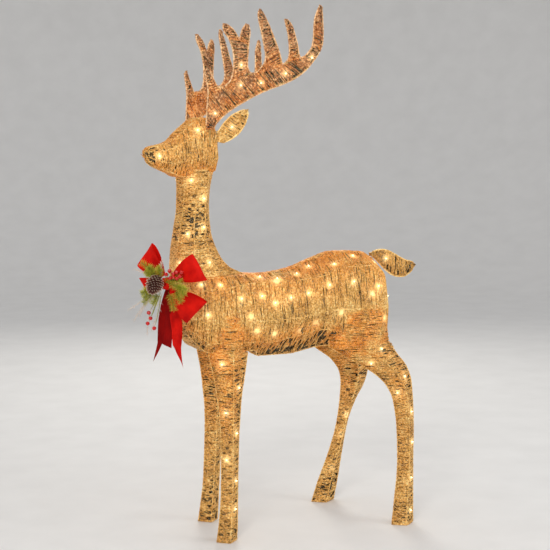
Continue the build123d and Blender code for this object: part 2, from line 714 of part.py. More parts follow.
def ribbon(outline, back, deep):
    """The space that a loop or a tail of the ribbon fills."""
    with BuildPart() as piece:
        with BuildSketch(bow_plane(back)):
            with BuildLine():
                Polyline(*outline, close=True)
            make_face()
            fillet(vertices(), 5)
        extrude(amount=deep)
    return piece.part


def make_bow():
    with BuildPart() as loops:
        for outline in BOW_LOOPS.values():
            add(ribbon(outline, BOW_LOOP_BACK, BOW_LOOP_DEEP))
    save(loops.part, "bow_loops")
    with BuildPart() as tails:
        for outline in BOW_TAILS:
            add(ribbon(outline, BOW_TAIL_BACK, BOW_TAIL_DEEP))
    save(tails.part, "bow_tails")
    with BuildPart() as knot:
        with BuildSketch(bow_plane(BOW_LOOP_BACK)):
            with Locations(KNOT):
                Circle(19)
        extrude(amount=BOW_LOOP_DEEP - 2, taper=4)
    save(knot.part, "bow_knot")
    with BuildPart() as clip:
        knot_back = bow_point(KNOT[0], KNOT[1], BOW_LOOP_BACK)
        add(bar_between(knot_back - FACING * 20, knot_back, 1.5))
    save(clip.part, "bow_tie_wire")
    with BuildPart() as cone:
        with BuildSketch(Plane(origin=bow_point(*CONE, CONE_BACK), x_dir=ACROSS, z_dir=(0, 0, -1))):
            with BuildLine():
                Spline((0, 0), (14, 3), (21, 16), (13, 36), (0, 46))
                Line((0, 46), (0, 0))
            make_face()
        revolve(axis=Axis(bow_point(*CONE, CONE_BACK), FACING))
    save(cone.part, "pinecone")
    with BuildPart() as berries:
        for across, up in BERRIES:
            with Locations(bow_point(across, up, SPRAY_OUT + BERRY_R)):
                Sphere(BERRY_R)
    save(berries.part, "berries")
    with BuildPart() as sprigs:
        for across, up, thick in SPRIGS:
            share = 30 / hypot(across - CONE[0], up - CONE[1])
            start_across = CONE[0] + share * (across - CONE[0])
            start_up = CONE[1] + share * (up - CONE[1])
            foot = bow_point(start_across, start_up, SPRAY_OUT + 5)
            tip = bow_point(across, up, SPRAY_OUT + 5)
            with BuildSketch(Plane(origin=foot, z_dir=tip - foot)):
                Circle(1.5)
            with BuildSketch(Plane(origin=foot + (tip - foot) * 0.5, z_dir=tip - foot)):
                Circle(thick)
            with BuildSketch(Plane(origin=tip, z_dir=tip - foot)):
                Circle(1.5)
            loft(ruled=True)
    save(sprigs.part, "sprigs")


os.makedirs("parts", exist_ok=True)
make_torso()
make_neck_head()
make_antlers()
make_ears()
make_tail()
make_legs()
make_bow()
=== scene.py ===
from math import cos, pi, radians, sin

import bpy
import numpy as np
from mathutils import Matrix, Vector


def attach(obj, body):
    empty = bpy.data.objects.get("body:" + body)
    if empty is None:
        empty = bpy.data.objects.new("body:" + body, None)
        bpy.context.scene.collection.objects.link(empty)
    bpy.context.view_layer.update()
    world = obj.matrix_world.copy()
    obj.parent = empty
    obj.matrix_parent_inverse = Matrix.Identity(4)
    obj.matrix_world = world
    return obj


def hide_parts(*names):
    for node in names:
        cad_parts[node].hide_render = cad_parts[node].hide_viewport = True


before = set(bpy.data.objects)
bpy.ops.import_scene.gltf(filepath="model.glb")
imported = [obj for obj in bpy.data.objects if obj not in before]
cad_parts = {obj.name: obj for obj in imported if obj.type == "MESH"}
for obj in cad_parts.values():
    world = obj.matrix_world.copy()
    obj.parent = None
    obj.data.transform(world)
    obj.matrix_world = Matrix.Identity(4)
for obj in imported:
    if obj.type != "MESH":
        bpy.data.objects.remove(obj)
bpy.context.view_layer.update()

# Lengths below are in millimetres in the deer's own frame: it faces -X, its left side is -Y and +Z is up.
CENTRE = np.array([19.4, 55.5, 0.0])
MM = 0.001
UP = np.array([0.0, 0.0, 1.0])
LEFT, RIGHT = -1, 1


# ---- section tables ----
TORSO = [
    (-334, (30, 795), (58, 772), (64, 712), (52, 676), (26, 662)),
    (-300, (66, 796), (92, 762), (98, 680), (82, 636), (50, 616)),
    (-250, (80, 796), (112, 762), (118, 662), (112, 604), (84, 572)),
    (-106, (30, 797), (88, 776), (122, 664), (108, 600), (80, 570)),
    (-60, (8, 796), (85, 777), (122, 664), (88, 592), (12, 541)),
    (30, (8, 806), (88, 779), (122, 668), (86, 606), (12, 541)),
    (120, (8, 836), (92, 788), (122, 683), (92, 622), (12, 555)),
    (194, (8, 856), (92, 813), (120, 685), (112, 612), (88, 571)),
    (290, (10, 852), (88, 814), (116, 683), (110, 612), (92, 571)),
    (342, (16, 817), (74, 788), (98, 682), (92, 618), (76, 572)),
    (368, (20, 750), (46, 734), (58, 680), (54, 632), (42, 594)),
]
NECK = [
    (798.5, 0, -69, 152, 74, 54),
    (822, 0, -70, 104, 72, 52),
    (860, 2, -69, 72, 66, 52),
    (937, 6, -60, 45, 54, 46),
    (1003, 10, -51, 41, 49, 44),
    (1060, 14, -50, 46, 49, 44),
    (1117, 14, -54, 60, 50, 44),
]
NECK_AXIS_X = -265
HEAD = [
    (-61, (14, 1214), (30, 1198), (36, 1150), (24, 1120)),
    (-41, (22, 1268), (46, 1235), (54, 1155), (34, 1108)),
    (-10, (26, 1270), (50, 1232), (60, 1155), (36, 1100)),
    (32, (26, 1246), (46, 1215), (55, 1148), (34, 1096)),
    (62, (22, 1225), (41, 1197), (47, 1142), (28, 1097)),
    (96, (17, 1199), (32, 1180), (36, 1138), (20, 1110)),
    (124, (15, 1190), (27, 1173), (29, 1140), (16, 1120)),
    (155, (13, 1185), (21, 1171), (22, 1148), (13, 1134)),
    (172, (8, 1177), (11, 1170), (11, 1158), (8, 1150)),
]
LEG_TOP = 567.0
FRONT_LEFT_LEG = [
    (LEG_TOP, -252, -124, 76, 42), (494, -237, -137, 82, 36), (434, -229, -149, 87, 32),
    (362, -222, -157, 92, 28), (293, -221, -163, 97, 26), (147, -225, -170, 106, 24),
    (50, -235, -174, 112, 25), (0, -243, -177, 114, 29),
]
FRONT_RIGHT_LEG = [(z, a + 26 - z / 80, b + 26 - z / 80, *rest) for z, a, b, *rest in FRONT_LEFT_LEG]
REAR_LEFT_LEG = [
    (LEG_TOP, 144, 360, 82, 46), (534, 196, 382, 88, 46), (485, 281, 417, 97, 40), (435, 336, 429, 107, 34),
    (388, 356, 428, 117, 31), (310, 362, 424, 131, 28), (200, 358, 415, 146, 26), (60, 337, 407, 162, 25),
    (0, 327, 404, 168, 29),
]
REAR_RIGHT_LEG = [
    (LEG_TOP, 144, 360, 82, 46), (534, 186, 378, 88, 46), (493, 244, 386, 96, 40), (446, 279, 384, 106, 36),
    (401, 289, 375, 115, 32), (348, 290, 350, 125, 28), (273, 285, 326, 136, 26), (179, 264, 313, 148, 24),
    (60, 226, 301, 164, 25), (0, 209, 290, 170, 29),
]
ANTLER = [
    (-8, 0), (-7, 58), (-6, 111), (-20, 168), (-12, 176), (-4, 166), (20, 126), (34, 118), (64, 140),
    (72, 172), (69, 221), (54, 261), (31, 289), (30, 304), (42, 306), (66, 290), (85, 262), (92, 292),
    (101, 307), (113, 304), (118, 288), (116, 251), (114, 190), (124, 166), (148, 166), (178, 206),
    (160, 271), (140, 336), (144, 352), (156, 345), (178, 310), (220, 228), (230, 192), (248, 206),
    (253, 232), (244, 286), (229, 326), (240, 326), (256, 310), (277, 257), (287, 214), (308, 222),
    (330, 252), (328, 333), (342, 372), (353, 366), (364, 271), (357, 238), (315, 180), (269, 147),
    (155, 105), (63, 53), (22, 14), (18, 0),
]
# Which outline points the thread runs between: along one edge, and along the other.
ANTLER_LADDERS = [
    ((1, 2, 6, 7, 8, 23, 24, 25, 32, 33, 40, 41, 42), (52, 51, 50, 49, 48, 47)),
    ((0, 1), (53, 52)),
    ((2, 3, 4), (6, 5, 4)),
    ((8, 9, 10, 11), (23, 22, 22, 21)),
    ((11, 12, 13), (16, 15, 14)),
    ((16, 17, 18), (21, 20, 19)),
    ((24, 25, 26, 27, 28), (32, 31, 30, 29)),
    ((33, 34, 35, 36), (40, 39, 38, 37)),
    ((42, 43, 44), (47, 46, 45)),
]
EAR = [
    (-15, -4), (-14, 12), (8, 46), (34, 72), (64, 86), (80, 86), (82, 72), (74, 46), (58, 20), (32, 0),
    (12, -9),
]
EAR_LADDERS = [((0, 1, 2, 3, 4, 5), (10, 9, 8, 7, 6, 5))]
TAIL = [
    (339, 838), (344, 852), (380, 856), (408, 847), (434, 832), (460, 818), (488, 812), (496, 802),
    (486, 782), (462, 765), (434, 765), (410, 773), (388, 790), (366, 812),
]
TAIL_LADDERS = [((0, 1, 2, 3, 4, 5, 6, 7), (0, 13, 12, 11, 10, 9, 8, 7))]


# ---- frames ----
def unit(v):
    return v / np.linalg.norm(v)


def units(vectors):
    return vectors / (np.linalg.norm(vectors, axis=-1, keepdims=True) + 1e-9)


HEAD_TURN = radians(14)
FORWARD = np.array([-cos(HEAD_TURN), -sin(HEAD_TURN), 0.0])
OUTWARD = np.array([sin(HEAD_TURN), -cos(HEAD_TURN), 0.0])


def head_point(forward, left, up):
    return np.array([NECK_AXIS_X, 0.0, up]) + FORWARD * forward + OUTWARD * left


def antler_axes(side):
    """Origin, direction back along the beam, direction up, and direction away from the head."""
    spread, drop, apart = (12, 0, 54) if side == LEFT else (16, 12, 56)
    spread, drop = radians(spread), radians(drop)
    out = OUTWARD * -side
    root = head_point(-15, 0, 1238) + out * apart
    back = -FORWARD * cos(spread) + out * sin(spread)
    away = FORWARD * sin(spread) + out * cos(spread)
    lean = radians(8)
    up = UP * cos(lean) + away * sin(lean)
    along = back * cos(drop) - up * sin(drop)
    normal = away * cos(lean) - UP * sin(lean)
    return root, along, unit(np.cross(normal * -side, along)), normal


def ear_axes(side):
    out = OUTWARD * -side
    root = head_point(-56, 0, 1207 if side == LEFT else 1183) + out * 59
    spread = radians(40)
    back = -FORWARD * cos(spread) + out * sin(spread)
    return root, back, UP, FORWARD * sin(spread) + out * cos(spread)


TAIL_AXES = (np.zeros(3), np.array([1.0, 0.0, 0.0]), UP, np.array([0.0, -1.0, 0.0]))
BOW_FACING = radians(50)
FACING = np.array([-sin(BOW_FACING), -cos(BOW_FACING), 0.0])
ACROSS = np.array([cos(BOW_FACING), -sin(BOW_FACING), 0.0])
BOW_FOOT = np.array([-368.0, -69.0, 0.0])  # on the ground below the bow


def bow_point(across, up, out):
    return BOW_FOOT + ACROSS * across + UP * up + FACING * out


def in_plane(axes, points, out=0.0):
    """Points of a flat section's own plane, in space."""
    root, along, up, away = axes
    points = np.asarray(points, float)
    return root + points[:, :1] * along + points[:, 1:] * up + away * out


# ---- rings ----
def ribbed_rings(table, place):
    """Rings through ribs that are given for one side and mirrored to the other."""
    rings = []
    for at, *ribs in table:
        first, second = ([place(at, side * w, z) for w, z in ribs] for side in (1, -1))
        rings.append([first[0]] + second + first[:0:-1])
    return np.array(rings, float)


def neck_rings():
    rings = []
    for z, turn, front, rear, wide_front, wide_rear in NECK:
        half = [
            (front, 0.42 * wide_front), (front + 0.3 * (rear - front), wide_front),
            (front + 0.7 * (rear - front), wide_rear), (rear, 0.34 * wide_rear),
        ]
        c, s = cos(radians(turn)), sin(radians(turn))
        flat = [(u, -v) for u, v in half] + [(u, v) for u, v in reversed(half)]
        rings.append([(NECK_AXIS_X + u * c - v * s, u * s + v * c, z) for u, v in flat])
    return np.array(rings, float)


def leg_rings(rows, side):
    rings = []
    for z, front, rear, middle, half in rows:
        mid = (front + rear) / 2
        rings.append([
            (front, side * middle, z), (mid, side * (middle + half), z),
            (rear, side * middle, z), (mid, side * (middle - half), z),
        ])
    return np.array(rings, float)


def capped(rings, start, end):
    """Closes a winding over its ends with shrinking rings; start and end say how far out they reach."""
    ends = []
    for edge, offset in ((rings[0], start), (rings[-1], end)):
        middle, offset = edge.mean(0), np.asarray(offset, float)
        shares = ((0.82, 0.55), (0.45, 0.95), (0.04, 1.0))
        ends.append([middle + (edge - middle) * share + offset * out for share, out in shares])
    return np.array([*reversed(ends[0]), *rings, *ends[1]])


def refined(values, parts):
    """Adds points between neighbours around each ring, or between the weights given for them."""
    values = np.asarray(values, float)
    flat = values.ndim == 1
    if flat:
        values = values[None, :, None]
    following = np.roll(values, -1, axis=1)
    steps = [values + (following - values) * (j / parts) for j in range(parts)]
    mixed = np.stack(steps, axis=2).reshape(values.shape[0], -1, values.shape[2])
    return mixed[0, :, 0] if flat else mixed


def ladder_rings(axes, outline, near_ids, far_ids, half, stations):
    """Flattened rings across a flat section, from one edge wire round to the other."""
    def along(ids):
        points = np.array([outline[i] for i in ids], float)
        step = np.r_[0, np.cumsum(np.linalg.norm(np.diff(points, axis=0), axis=1) + 1e-6)]
        at = np.linspace(0, step[-1], stations)
        return np.stack([np.interp(at, step, points[:, 0]), np.interp(at, step, points[:, 1])], axis=1)

    a, b = along(near_ids), along(far_ids)
    inner_a, inner_b = a + (b - a) * 0.12, b + (a - b) * 0.12
    middle = (a + b) / 2
    rows = [
        in_plane(axes, a), in_plane(axes, inner_a, half), in_plane(axes, middle, half * 1.1),
        in_plane(axes, inner_b, half), in_plane(axes, b), in_plane(axes, inner_b, -half),
        in_plane(axes, middle, -half * 1.1), in_plane(axes, inner_a, -half),
    ]
    rings = np.stack(rows, axis=1)
    for tip, inner in ((0, 1), (-1, -2)):  # runs a little over its neighbours
        rings[tip] += unit((rings[tip] - rings[inner]).mean(0)) * 3.0
    return rings


class Winding:
    """A smooth surface through a set of rings, sampled by a place from 0 to 1 along it for every corner."""

    def __init__(self, rings):
        self.rings = rings
        self.step = np.maximum(np.linalg.norm(np.diff(rings, axis=0), axis=2).mean(1), 0.5)
        self.s = np.r_[0, np.cumsum(self.step)]
        slope = np.diff(rings, axis=0) / self.step[:, None, None]
        both = slope[:-1] * slope[1:]
        inner = np.where(both > 0, 2 * both / (slope[:-1] + slope[1:] + 1e-12 * np.sign(slope[:-1])), 0.0)
        self.slope = np.concatenate([slope[:1], inner, slope[-1:]])
        self.length = self.s[-1]

    def at(self, places):
        x = np.clip(places, 0, 1) * self.length
        i = np.clip(np.searchsorted(self.s, x, side="right") - 1, 0, len(self.step) - 1)
        step = self.step[i]
        t = ((x - self.s[i]) / step)[..., None]
        k = np.broadcast_to(np.arange(self.rings.shape[1]), i.shape)
        p0, p1 = self.rings[i, k], self.rings[i + 1, k]
        m0, m1 = self.slope[i, k] * step[..., None], self.slope[i + 1, k] * step[..., None]
        t2, t3 = t * t, t * t * t
        points = (
            p0 * (2 * t3 - 3 * t2 + 1) + m0 * (t3 - 2 * t2 + t) + p1 * (3 * t2 - 2 * t3) + m1 * (t3 - t2)
        )
        points[..., 2] = np.maximum(points[..., 2], 1.0)
        return points

    def frames(self, places):
        """Points, outward normals and lengthwise directions."""
        points = self.at(places)
        lengthwise = self.at(places + 0.004) - self.at(places - 0.004)
        around = np.roll(points, -1, axis=1) - np.roll(points, 1, axis=1)
        normal = units(np.cross(around, lengthwise))
        outward = points - points.mean(axis=1, keepdims=True)
        normal *= np.sign((normal * outward).sum(axis=2, keepdims=True) + 1e-12)
        return points, normal, units(np.cross(normal, around))


# ---- meshes ----
SLOT_PITCH = 5.5  # how wide the gaps between bunches of thread are
PITCH = 1.95  # the spacing of the turns


def ring_faces(here, there):
    """Four-cornered faces between rows of corners that close on themselves."""
    corners = [here, np.roll(here, -1, axis=1), np.roll(there, -1, axis=1), there]
    return np.stack(corners, axis=-1).reshape(-1, 4)


def loft_faces(start, rows, sides):
    """Faces of a small form of a few rows of points, from its first point on."""
    index = start + np.arange(rows * sides).reshape(rows, sides)
    return ring_faces(index[:-1], index[1:])


def grid_uv(row, column, rows, columns):
    """UV corners of the faces of a grid."""
    u0, v0 = column / columns, row / rows
    u1, v1 = u0 + 1 / columns, v0 + 1 / rows
    return np.stack([u0, v0, u1, v0, u1, v1, u0, v1], axis=-1).reshape(-1, 2)


def make_mesh(name, points, faces, body, material, values=None, uv=None):
    """A piece from points in millimetres and faces of one size, with any values stored on its points."""
    faces = np.asarray(faces, int)
    mesh = bpy.data.meshes.new(name)
    mesh.vertices.add(len(points))
    mesh.vertices.foreach_set("co", ((np.asarray(points) - CENTRE) * MM).ravel())
    mesh.loops.add(faces.size)
    mesh.loops.foreach_set("vertex_index", faces.ravel())
    mesh.polygons.add(len(faces))
    mesh.polygons.foreach_set("loop_start", np.arange(0, faces.size, faces.shape[1]))
    mesh.update(calc_edges=True)
    mesh.polygons.foreach_set("use_smooth", np.full(len(faces), True))
    for key, value in (values or {}).items():
        layer = mesh.attributes.new(key, "FLOAT", "POINT")
        layer.data.foreach_set("value", np.asarray(value, float).ravel())
    if uv is not None:
        mesh.uv_layers.new(name="OFBake").data.foreach_set("uv", np.asarray(uv, float).ravel())
    mesh.validate()
    piece = bpy.data.objects.new(name, mesh)
    bpy.context.scene.collection.objects.link(piece)
    mesh.materials.append(material)
    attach(piece, body)
    return piece


def weighted(places, around, stops):
    """A weight for each corner of the rings times one that changes between stops along them."""
    return np.interp(places, *zip(*stops)) * around[None, :]


def slots(rng, places, length, share, pitch):
    """1 in the ragged slots between the turns and otherwise 0; share says how much is open."""
    corners = places.shape[1]
    cells = rng.uniform(0, 1, (int(length / pitch) + 2, corners))
    row = np.clip((places * length / pitch).astype(int), 0, len(cells) - 1)
    column = np.broadcast_to(np.arange(corners), places.shape)
    return (cells[row, column] < share).astype(float)


def skin_and_turns(span):
    """The closed layer of older thread of one span, painted near black as shade and darkest where the turns
    are open, and two crossed layers of loose turns over it.
    """
    parts, depth, width = span.get("parts", 4), span.get("depth", 2.4), span.get("width", 1.05)
    winding = Winding(refined(span["rings"], parts))
    corners = winding.rings.shape[1]
    # Per corner, warm turns the thread towards orange and pale makes it lighter or darker; the tables use
    # them partly for denser thread and partly as painted shade on undersides and painted highlight along
    # edges and sides.
    warm, pale, open_round = (refined(span[key], parts) for key in ("warm", "pale", "open"))
    warm_along = span.get("warm_along", ((0, 1), (1, 1)))
    slot_pitch, sink = span.get("slot", SLOT_PITCH), span.get("sink", 4.5)
    angle = np.arange(corners) * (2 * pi / corners)

    rows = span.get("rows", 110)
    places = np.repeat(np.linspace(0.001, 0.999, rows)[:, None], corners, axis=1)
    points, normal, _ = winding.frames(places)
    points = points - normal * depth
    points[..., 2] = np.maximum(points[..., 2], 2.0)
    uv = grid_uv(*np.meshgrid(np.arange(rows - 1), np.arange(corners), indexing="ij"), rows - 1, corners)
    # The under layer is painted darkest where the turns are open: painted shade of the hollow inside seen
    # through the gaps.
    dense = 1 - np.clip(weighted(places, open_round, span["gaps"]) * 5, 0, 1)  # dark only where open
    values = {"tint": 0.16 + 0.44 * dense + pale[None, :], "warm": weighted(places, warm, warm_along)}
    layers = [(points.reshape(-1, 3), loft_faces(0, rows, corners), values, uv)]
    for layer in range(2):
        cells = np.random.default_rng(span["seed"] + 5)
        rng = np.random.default_rng(span["seed"] + layer)
        count = int(winding.length / span["pitch"])
        base = (np.arange(count) + rng.uniform(0, 1, count)) / count
        phase = rng.uniform(0, 2 * pi, count)
        swing = span["tilt"] * rng.uniform(0.1, 1, count) / winding.length
        places = base[:, None] + swing[:, None] * np.cos(angle + phase[:, None])
        places += rng.normal(0, span.get("jitter", 2.2), places.shape) / winding.length
        places = np.clip(places, 0.0005, 0.9995)
        points, normal, along = winding.frames(places)
        hole = slots(cells, places, winding.length, weighted(places, open_round, span["gaps"]), slot_pitch)
        rise = rng.uniform(0, 0.9 + 0.9 * layer, count)[:, None] - 0.5 - (depth + sink) * hole
        points = points + normal * rise[..., None]
        thick = width * rng.uniform(0.65, 1.25, count)[:, None, None]
        sides = np.stack([
            points + normal * thick * 0.75, points - normal * thick * 0.3 + along * thick,
            points - normal * thick * 0.3 - along * thick,
        ], axis=2)
        sides[..., 2] = np.maximum(sides[..., 2], 0.6)
        index = np.arange(count * corners * 3).reshape(count, corners, 3)
        following = np.roll(index, -1, axis=1)
        faces = np.stack([
            index, following, np.roll(following, -1, axis=2), np.roll(index, -1, axis=2),
        ], axis=-1).reshape(-1, 4)
        tone = 0.06 + 0.26 * rng.beta(2.2, 2.0, count)[:, None] + rng.normal(0, 0.05, (count, corners))
        tint = np.repeat((tone + pale[None, :])[..., None], 3, axis=2)
        row, column, side = np.meshgrid(np.arange(count), np.arange(corners), np.arange(3), indexing="ij")
        uv = grid_uv(row * 3 + side, column, 3 * count, corners)
        values = {"tint": tint, "warm": np.repeat(weighted(places, warm, warm_along)[..., None], 3, axis=2)}
        layers.append((sides.reshape(-1, 3), faces, values, uv))
    return layers


def merged(chunks):
    """One mesh from several, each with its own band of the UV square."""
    points, faces, uvs, start = [], [], [], 0
    for number, (verts, polygons, _, uv) in enumerate(chunks):
        points.append(verts)
        faces.append(polygons + start)
        uvs.append((uv + (0, number)) / (1, len(chunks)))
        start += len(verts)
    values = {key: np.concatenate([np.ravel(chunk[2][key]) for chunk in chunks]) for key in chunks[0][2]}
    return np.concatenate(points), np.concatenate(faces), values, np.concatenate(uvs)


def tube_mesh(paths, radius, sides=6, closed=False, ripple=0.0):
    """Points and faces for round tubes along smooth paths."""
    all_points, all_faces, start = [], [], 0
    for path in paths:
        path = np.asarray(path, float)
        count = len(path)
        ahead = np.roll(path, -1, axis=0) - np.roll(path, 1, axis=0)
        if not closed:
            ahead[0], ahead[-1] = path[1] - path[0], path[-1] - path[-2]
        ahead = units(ahead)
        side = np.cross(ahead[0], UP if abs(ahead[0][2]) < 0.9 else np.array([1.0, 0.0, 0.0]))
        sides_at = []
        for direction in ahead:
            side = side - direction * (side @ direction)
            side = side / (np.linalg.norm(side) + 1e-9)
            sides_at.append(side)
        side = np.array(sides_at)
        other = np.cross(ahead, side)
        run = np.r_[0, np.cumsum(np.linalg.norm(np.diff(path, axis=0), axis=1))]
        radii = radius * (1 + ripple * np.sin(run * 2.1)) if ripple else np.full(count, radius)
        if not closed:
            radii = radii.copy()
            radii[0] = radii[-1] = radius * 0.3
        turn = np.arange(sides) * (2 * pi / sides)
        ring = path[:, None] + radii[:, None, None] * (
            np.cos(turn)[None, :, None] * side[:, None] + np.sin(turn)[None, :, None] * other[:, None]
        )
        index = np.arange(count * sides).reshape(count, sides) + start
        all_points.append(ring.reshape(-1, 3))
        ends = (index, np.roll(index, -1, axis=0)) if closed else (index[:-1], index[1:])
        all_faces.append(ring_faces(*ends))
        start += count * sides
    return np.concatenate(all_points), np.concatenate(all_faces)


def rib_wires(name, body, all_rings, material, ends=(0.0, 1.0), radius=1.5, depth=0.6):
    """The thread-covered frame wires that stand at the corners of each section."""
    paths = []
    for rings in all_rings:
        places = np.repeat(np.linspace(*ends, 90)[:, None], rings.shape[1], axis=1)
        points, normal, _ = Winding(rings).frames(places)
        points = points - normal * depth
        points[..., 2] = np.maximum(points[..., 2], radius + 0.3)
        paths += [points[:, k] for k in range(rings.shape[1])]
    verts, faces = tube_mesh(paths, radius, ripple=0.12)
    # The ribs' thread is painted a little paler than the turns, as painted highlight along the corners.
    values = {"tint": np.full(len(verts), 0.30), "warm": np.full(len(verts), 0.2)}
    return make_mesh(name, verts, faces, body, material, values)


def rounded_outline(points, times=2):
    """Cuts the corners of a closed outline."""
    points = np.asarray(points, float)
    for _ in range(times):
        following = np.roll(points, -1, axis=0)
        pairs = [points * 0.8 + following * 0.2, points * 0.2 + following * 0.8]
        points = np.stack(pairs, axis=1).reshape(-1, 2)
    return points


def rim_wire(name, body, axes, outline, material, radius=2.3):
    middle = in_plane(axes, rounded_outline(outline))
    verts, faces = tube_mesh([middle], radius, closed=True, ripple=0.12)
    # The rim's thread is painted much paler than the turns, as painted highlight along the edge.
    values = {"tint": np.full(len(verts), 0.46), "warm": np.full(len(verts), 0.15)}
    return make_mesh(name, verts, faces, body, material, values)


# ---- materials ----
class Look:
    """A small helper that builds one node material."""

    def __init__(self, name):
        self.material = bpy.data.materials.new(name)
        self.material.use_nodes = True
        self.nodes, self.links = self.material.node_tree.nodes, self.material.node_tree.links
        self.shader = self.nodes["Principled BSDF"]

    def node(self, kind, **settings):
        made = self.nodes.new(kind)
        for key, value in settings.items():
            setattr(made, key, value)
        return made

    def set(self, **sockets):
        for key, value in sockets.items():
            self.shader.inputs[key.replace("_", " ")].default_value = value

    def link(self, output, socket):
        target = self.shader.inputs[socket] if isinstance(socket, str) else socket
        self.links.new(output, target)

    def attribute(self, name):
        return self.node("ShaderNodeAttribute", attribute_name=name).outputs["Fac"]

    def noise(self, vector, scale, detail=2.0, rough=0.5):
        made = self.node("ShaderNodeTexNoise")
        made.inputs["Scale"].default_value = scale
        made.inputs["Detail"].default_value = detail
        made.inputs["Roughness"].default_value = rough
        self.links.new(vector, made.inputs["Vector"])
        return made.outputs["Fac"]

    def object_space(self):
        return self.node("ShaderNodeTexCoord").outputs["Object"]

    def ramp(self, fac, stops):
        made = self.node("ShaderNodeValToRGB")
        ramp = made.color_ramp
        while len(ramp.elements) < len(stops):
            ramp.elements.new(0.5)
        for element, (place, colour) in zip(ramp.elements, stops):
            element.position = place
            element.color = (*colour, 1.0)
        self.links.new(fac, made.inputs["Fac"])
        return made.outputs["Color"]

    def math(self, operation, a, b=None, clamp=False):
        made = self.node("ShaderNodeMath", operation=operation, use_clamp=clamp)
        for socket, value in zip(made.inputs, (a, b)):
            if isinstance(value, (int, float)):
                socket.default_value = value
            elif value is not None:
                self.links.new(value, socket)
        return made.outputs[0]

    def mix(self, fac, a, b):
        made = self.node("ShaderNodeMix", data_type="RGBA")
        for socket, value in ((made.inputs[0], fac), (made.inputs[6], a), (made.inputs[7], b)):
            if isinstance(value, (int, float)):
                socket.default_value = value
            elif isinstance(value, tuple):
                socket.default_value = (*value, 1.0)
            else:
                self.links.new(value, socket)
        return made.outputs[2]

    def glow(self, space, bulbs, reach):
        """Light that falls off all round each bulb."""
        total = 0.0
        for bulb in bulbs:
            apart = self.node("ShaderNodeVectorMath", operation="DISTANCE")
            self.links.new(space, apart.inputs[0])
            apart.inputs[1].default_value = (np.asarray(bulb) - CENTRE) * MM
            share = self.math("DIVIDE", apart.outputs["Value"], reach)
            fall = self.math("POWER", self.math("ADD", self.math("MULTIPLY", share, share), 1.0), -2.0)
            total = self.math("ADD", fall, total)
        return total

    def bump(self, height, strength, distance):
        made = self.node("ShaderNodeBump")
        made.inputs["Strength"].default_value = strength
        made.inputs["Distance"].default_value = distance
        self.links.new(height, made.inputs["Height"])
        self.link(made.outputs["Normal"], "Normal")


WARM_LIGHT = (1.0, 0.77, 0.36)
GLOW_REACH = 0.0128  # metres
GOLD_COOL = [(0.0, (0.13, 0.055, 0.010)), (0.25, (0.42, 0.20, 0.036)), (0.5, (0.62, 0.34, 0.075)),
             (0.75, (0.80, 0.49, 0.14)), (1.0, (1.0, 0.78, 0.36))]
GOLD_WARM = [(0.0, (0.20, 0.045, 0.004)), (0.25, (0.56, 0.165, 0.012)), (0.5, (0.78, 0.27, 0.022)),
             (0.75, (0.92, 0.38, 0.045)), (1.0, (1.0, 0.62, 0.18))]
COPPER_COOL = [(0.0, (0.03, 0.012, 0.005)), (0.25, (0.22, 0.088, 0.034)), (0.5, (0.43, 0.19, 0.080)),
               (0.75, (0.62, 0.33, 0.15)), (1.0, (0.90, 0.62, 0.36))]
COPPER_WARM = [(0.0, (0.12, 0.018, 0.002)), (0.25, (0.44, 0.095, 0.008)), (0.5, (0.62, 0.20, 0.030)),
               (0.75, (0.84, 0.34, 0.07)), (1.0, (1.0, 0.66, 0.28))]
UNDER_PAINTED_SHADE = [(0.0, (0.004, 0.002, 0.001)), (0.45, (0.014, 0.006, 0.001)), (0.75, (0.10, 0.045, 0.008)),
         (1.0, (0.36, 0.19, 0.045))]


def thread_material(name, cool, warm, bulbs, own, contrast=2.1, metallic=0.45, rough=0.45, gloss=0.3):
    """Metallic wound thread, mottled by its crossings, with glitter, pale glints painted into its colour,
    the light of the bulbs near it painted on as glow, and a faint painted glow of its own.
    """
    look = Look(name)
    space = look.object_space()
    mottle = look.math("MULTIPLY", look.math("SUBTRACT", look.noise(space, 170, 2, 0.7), 0.5), contrast)
    tone = look.math("ADD", mottle, look.math("MULTIPLY", look.noise(space, 26, 2), 0.7))
    tone = look.math("ADD", tone, look.attribute("tint"), clamp=True)
    patches = look.math("SUBTRACT", look.noise(space, 15, 3, 0.6), 0.28)
    patches = look.math("MULTIPLY", patches, 4.2, clamp=True)
    base = look.mix(look.math("MULTIPLY", look.attribute("warm"), patches, clamp=True),
                    look.ramp(tone, cool), look.ramp(tone, warm))
    glitter = look.noise(space, 1300, 0)
    # Pale glints painted into the base colour on the glitter's brightest flecks.
    painted_glint = look.math("MULTIPLY", look.math("SUBTRACT", glitter, 0.66), 11.0, clamp=True)
    base = look.mix(painted_glint, base, (1.0, 0.90, 0.62))
    look.link(base, "Base Color")
    look.set(Metallic=metallic, Roughness=rough, Specular_IOR_Level=gloss)
    look.bump(glitter, 0.35, 0.0006)
    glow = look.glow(space, bulbs, GLOW_REACH)
    look.link(look.mix(look.math("MULTIPLY", glow, 1.6, clamp=True), base, WARM_LIGHT), "Emission Color")
    # own is a faint painted glow of the thread itself, everywhere, besides the painted glow round the
    # bulbs.
    look.link(look.math("ADD", glow, own), "Emission Strength")
    return look.material


def grained(name, scale, detail, stops, bump=None, **sockets):
    """A body colour that varies finely between stops, perhaps with small bumps."""
    look = Look(name)
    space = look.object_space()
    look.link(look.ramp(look.noise(space, scale, detail), stops), "Base Color")
    look.set(**sockets)
    if bump:
        look.bump(look.noise(space, *bump[:2]), *bump[2:])
    return look.material


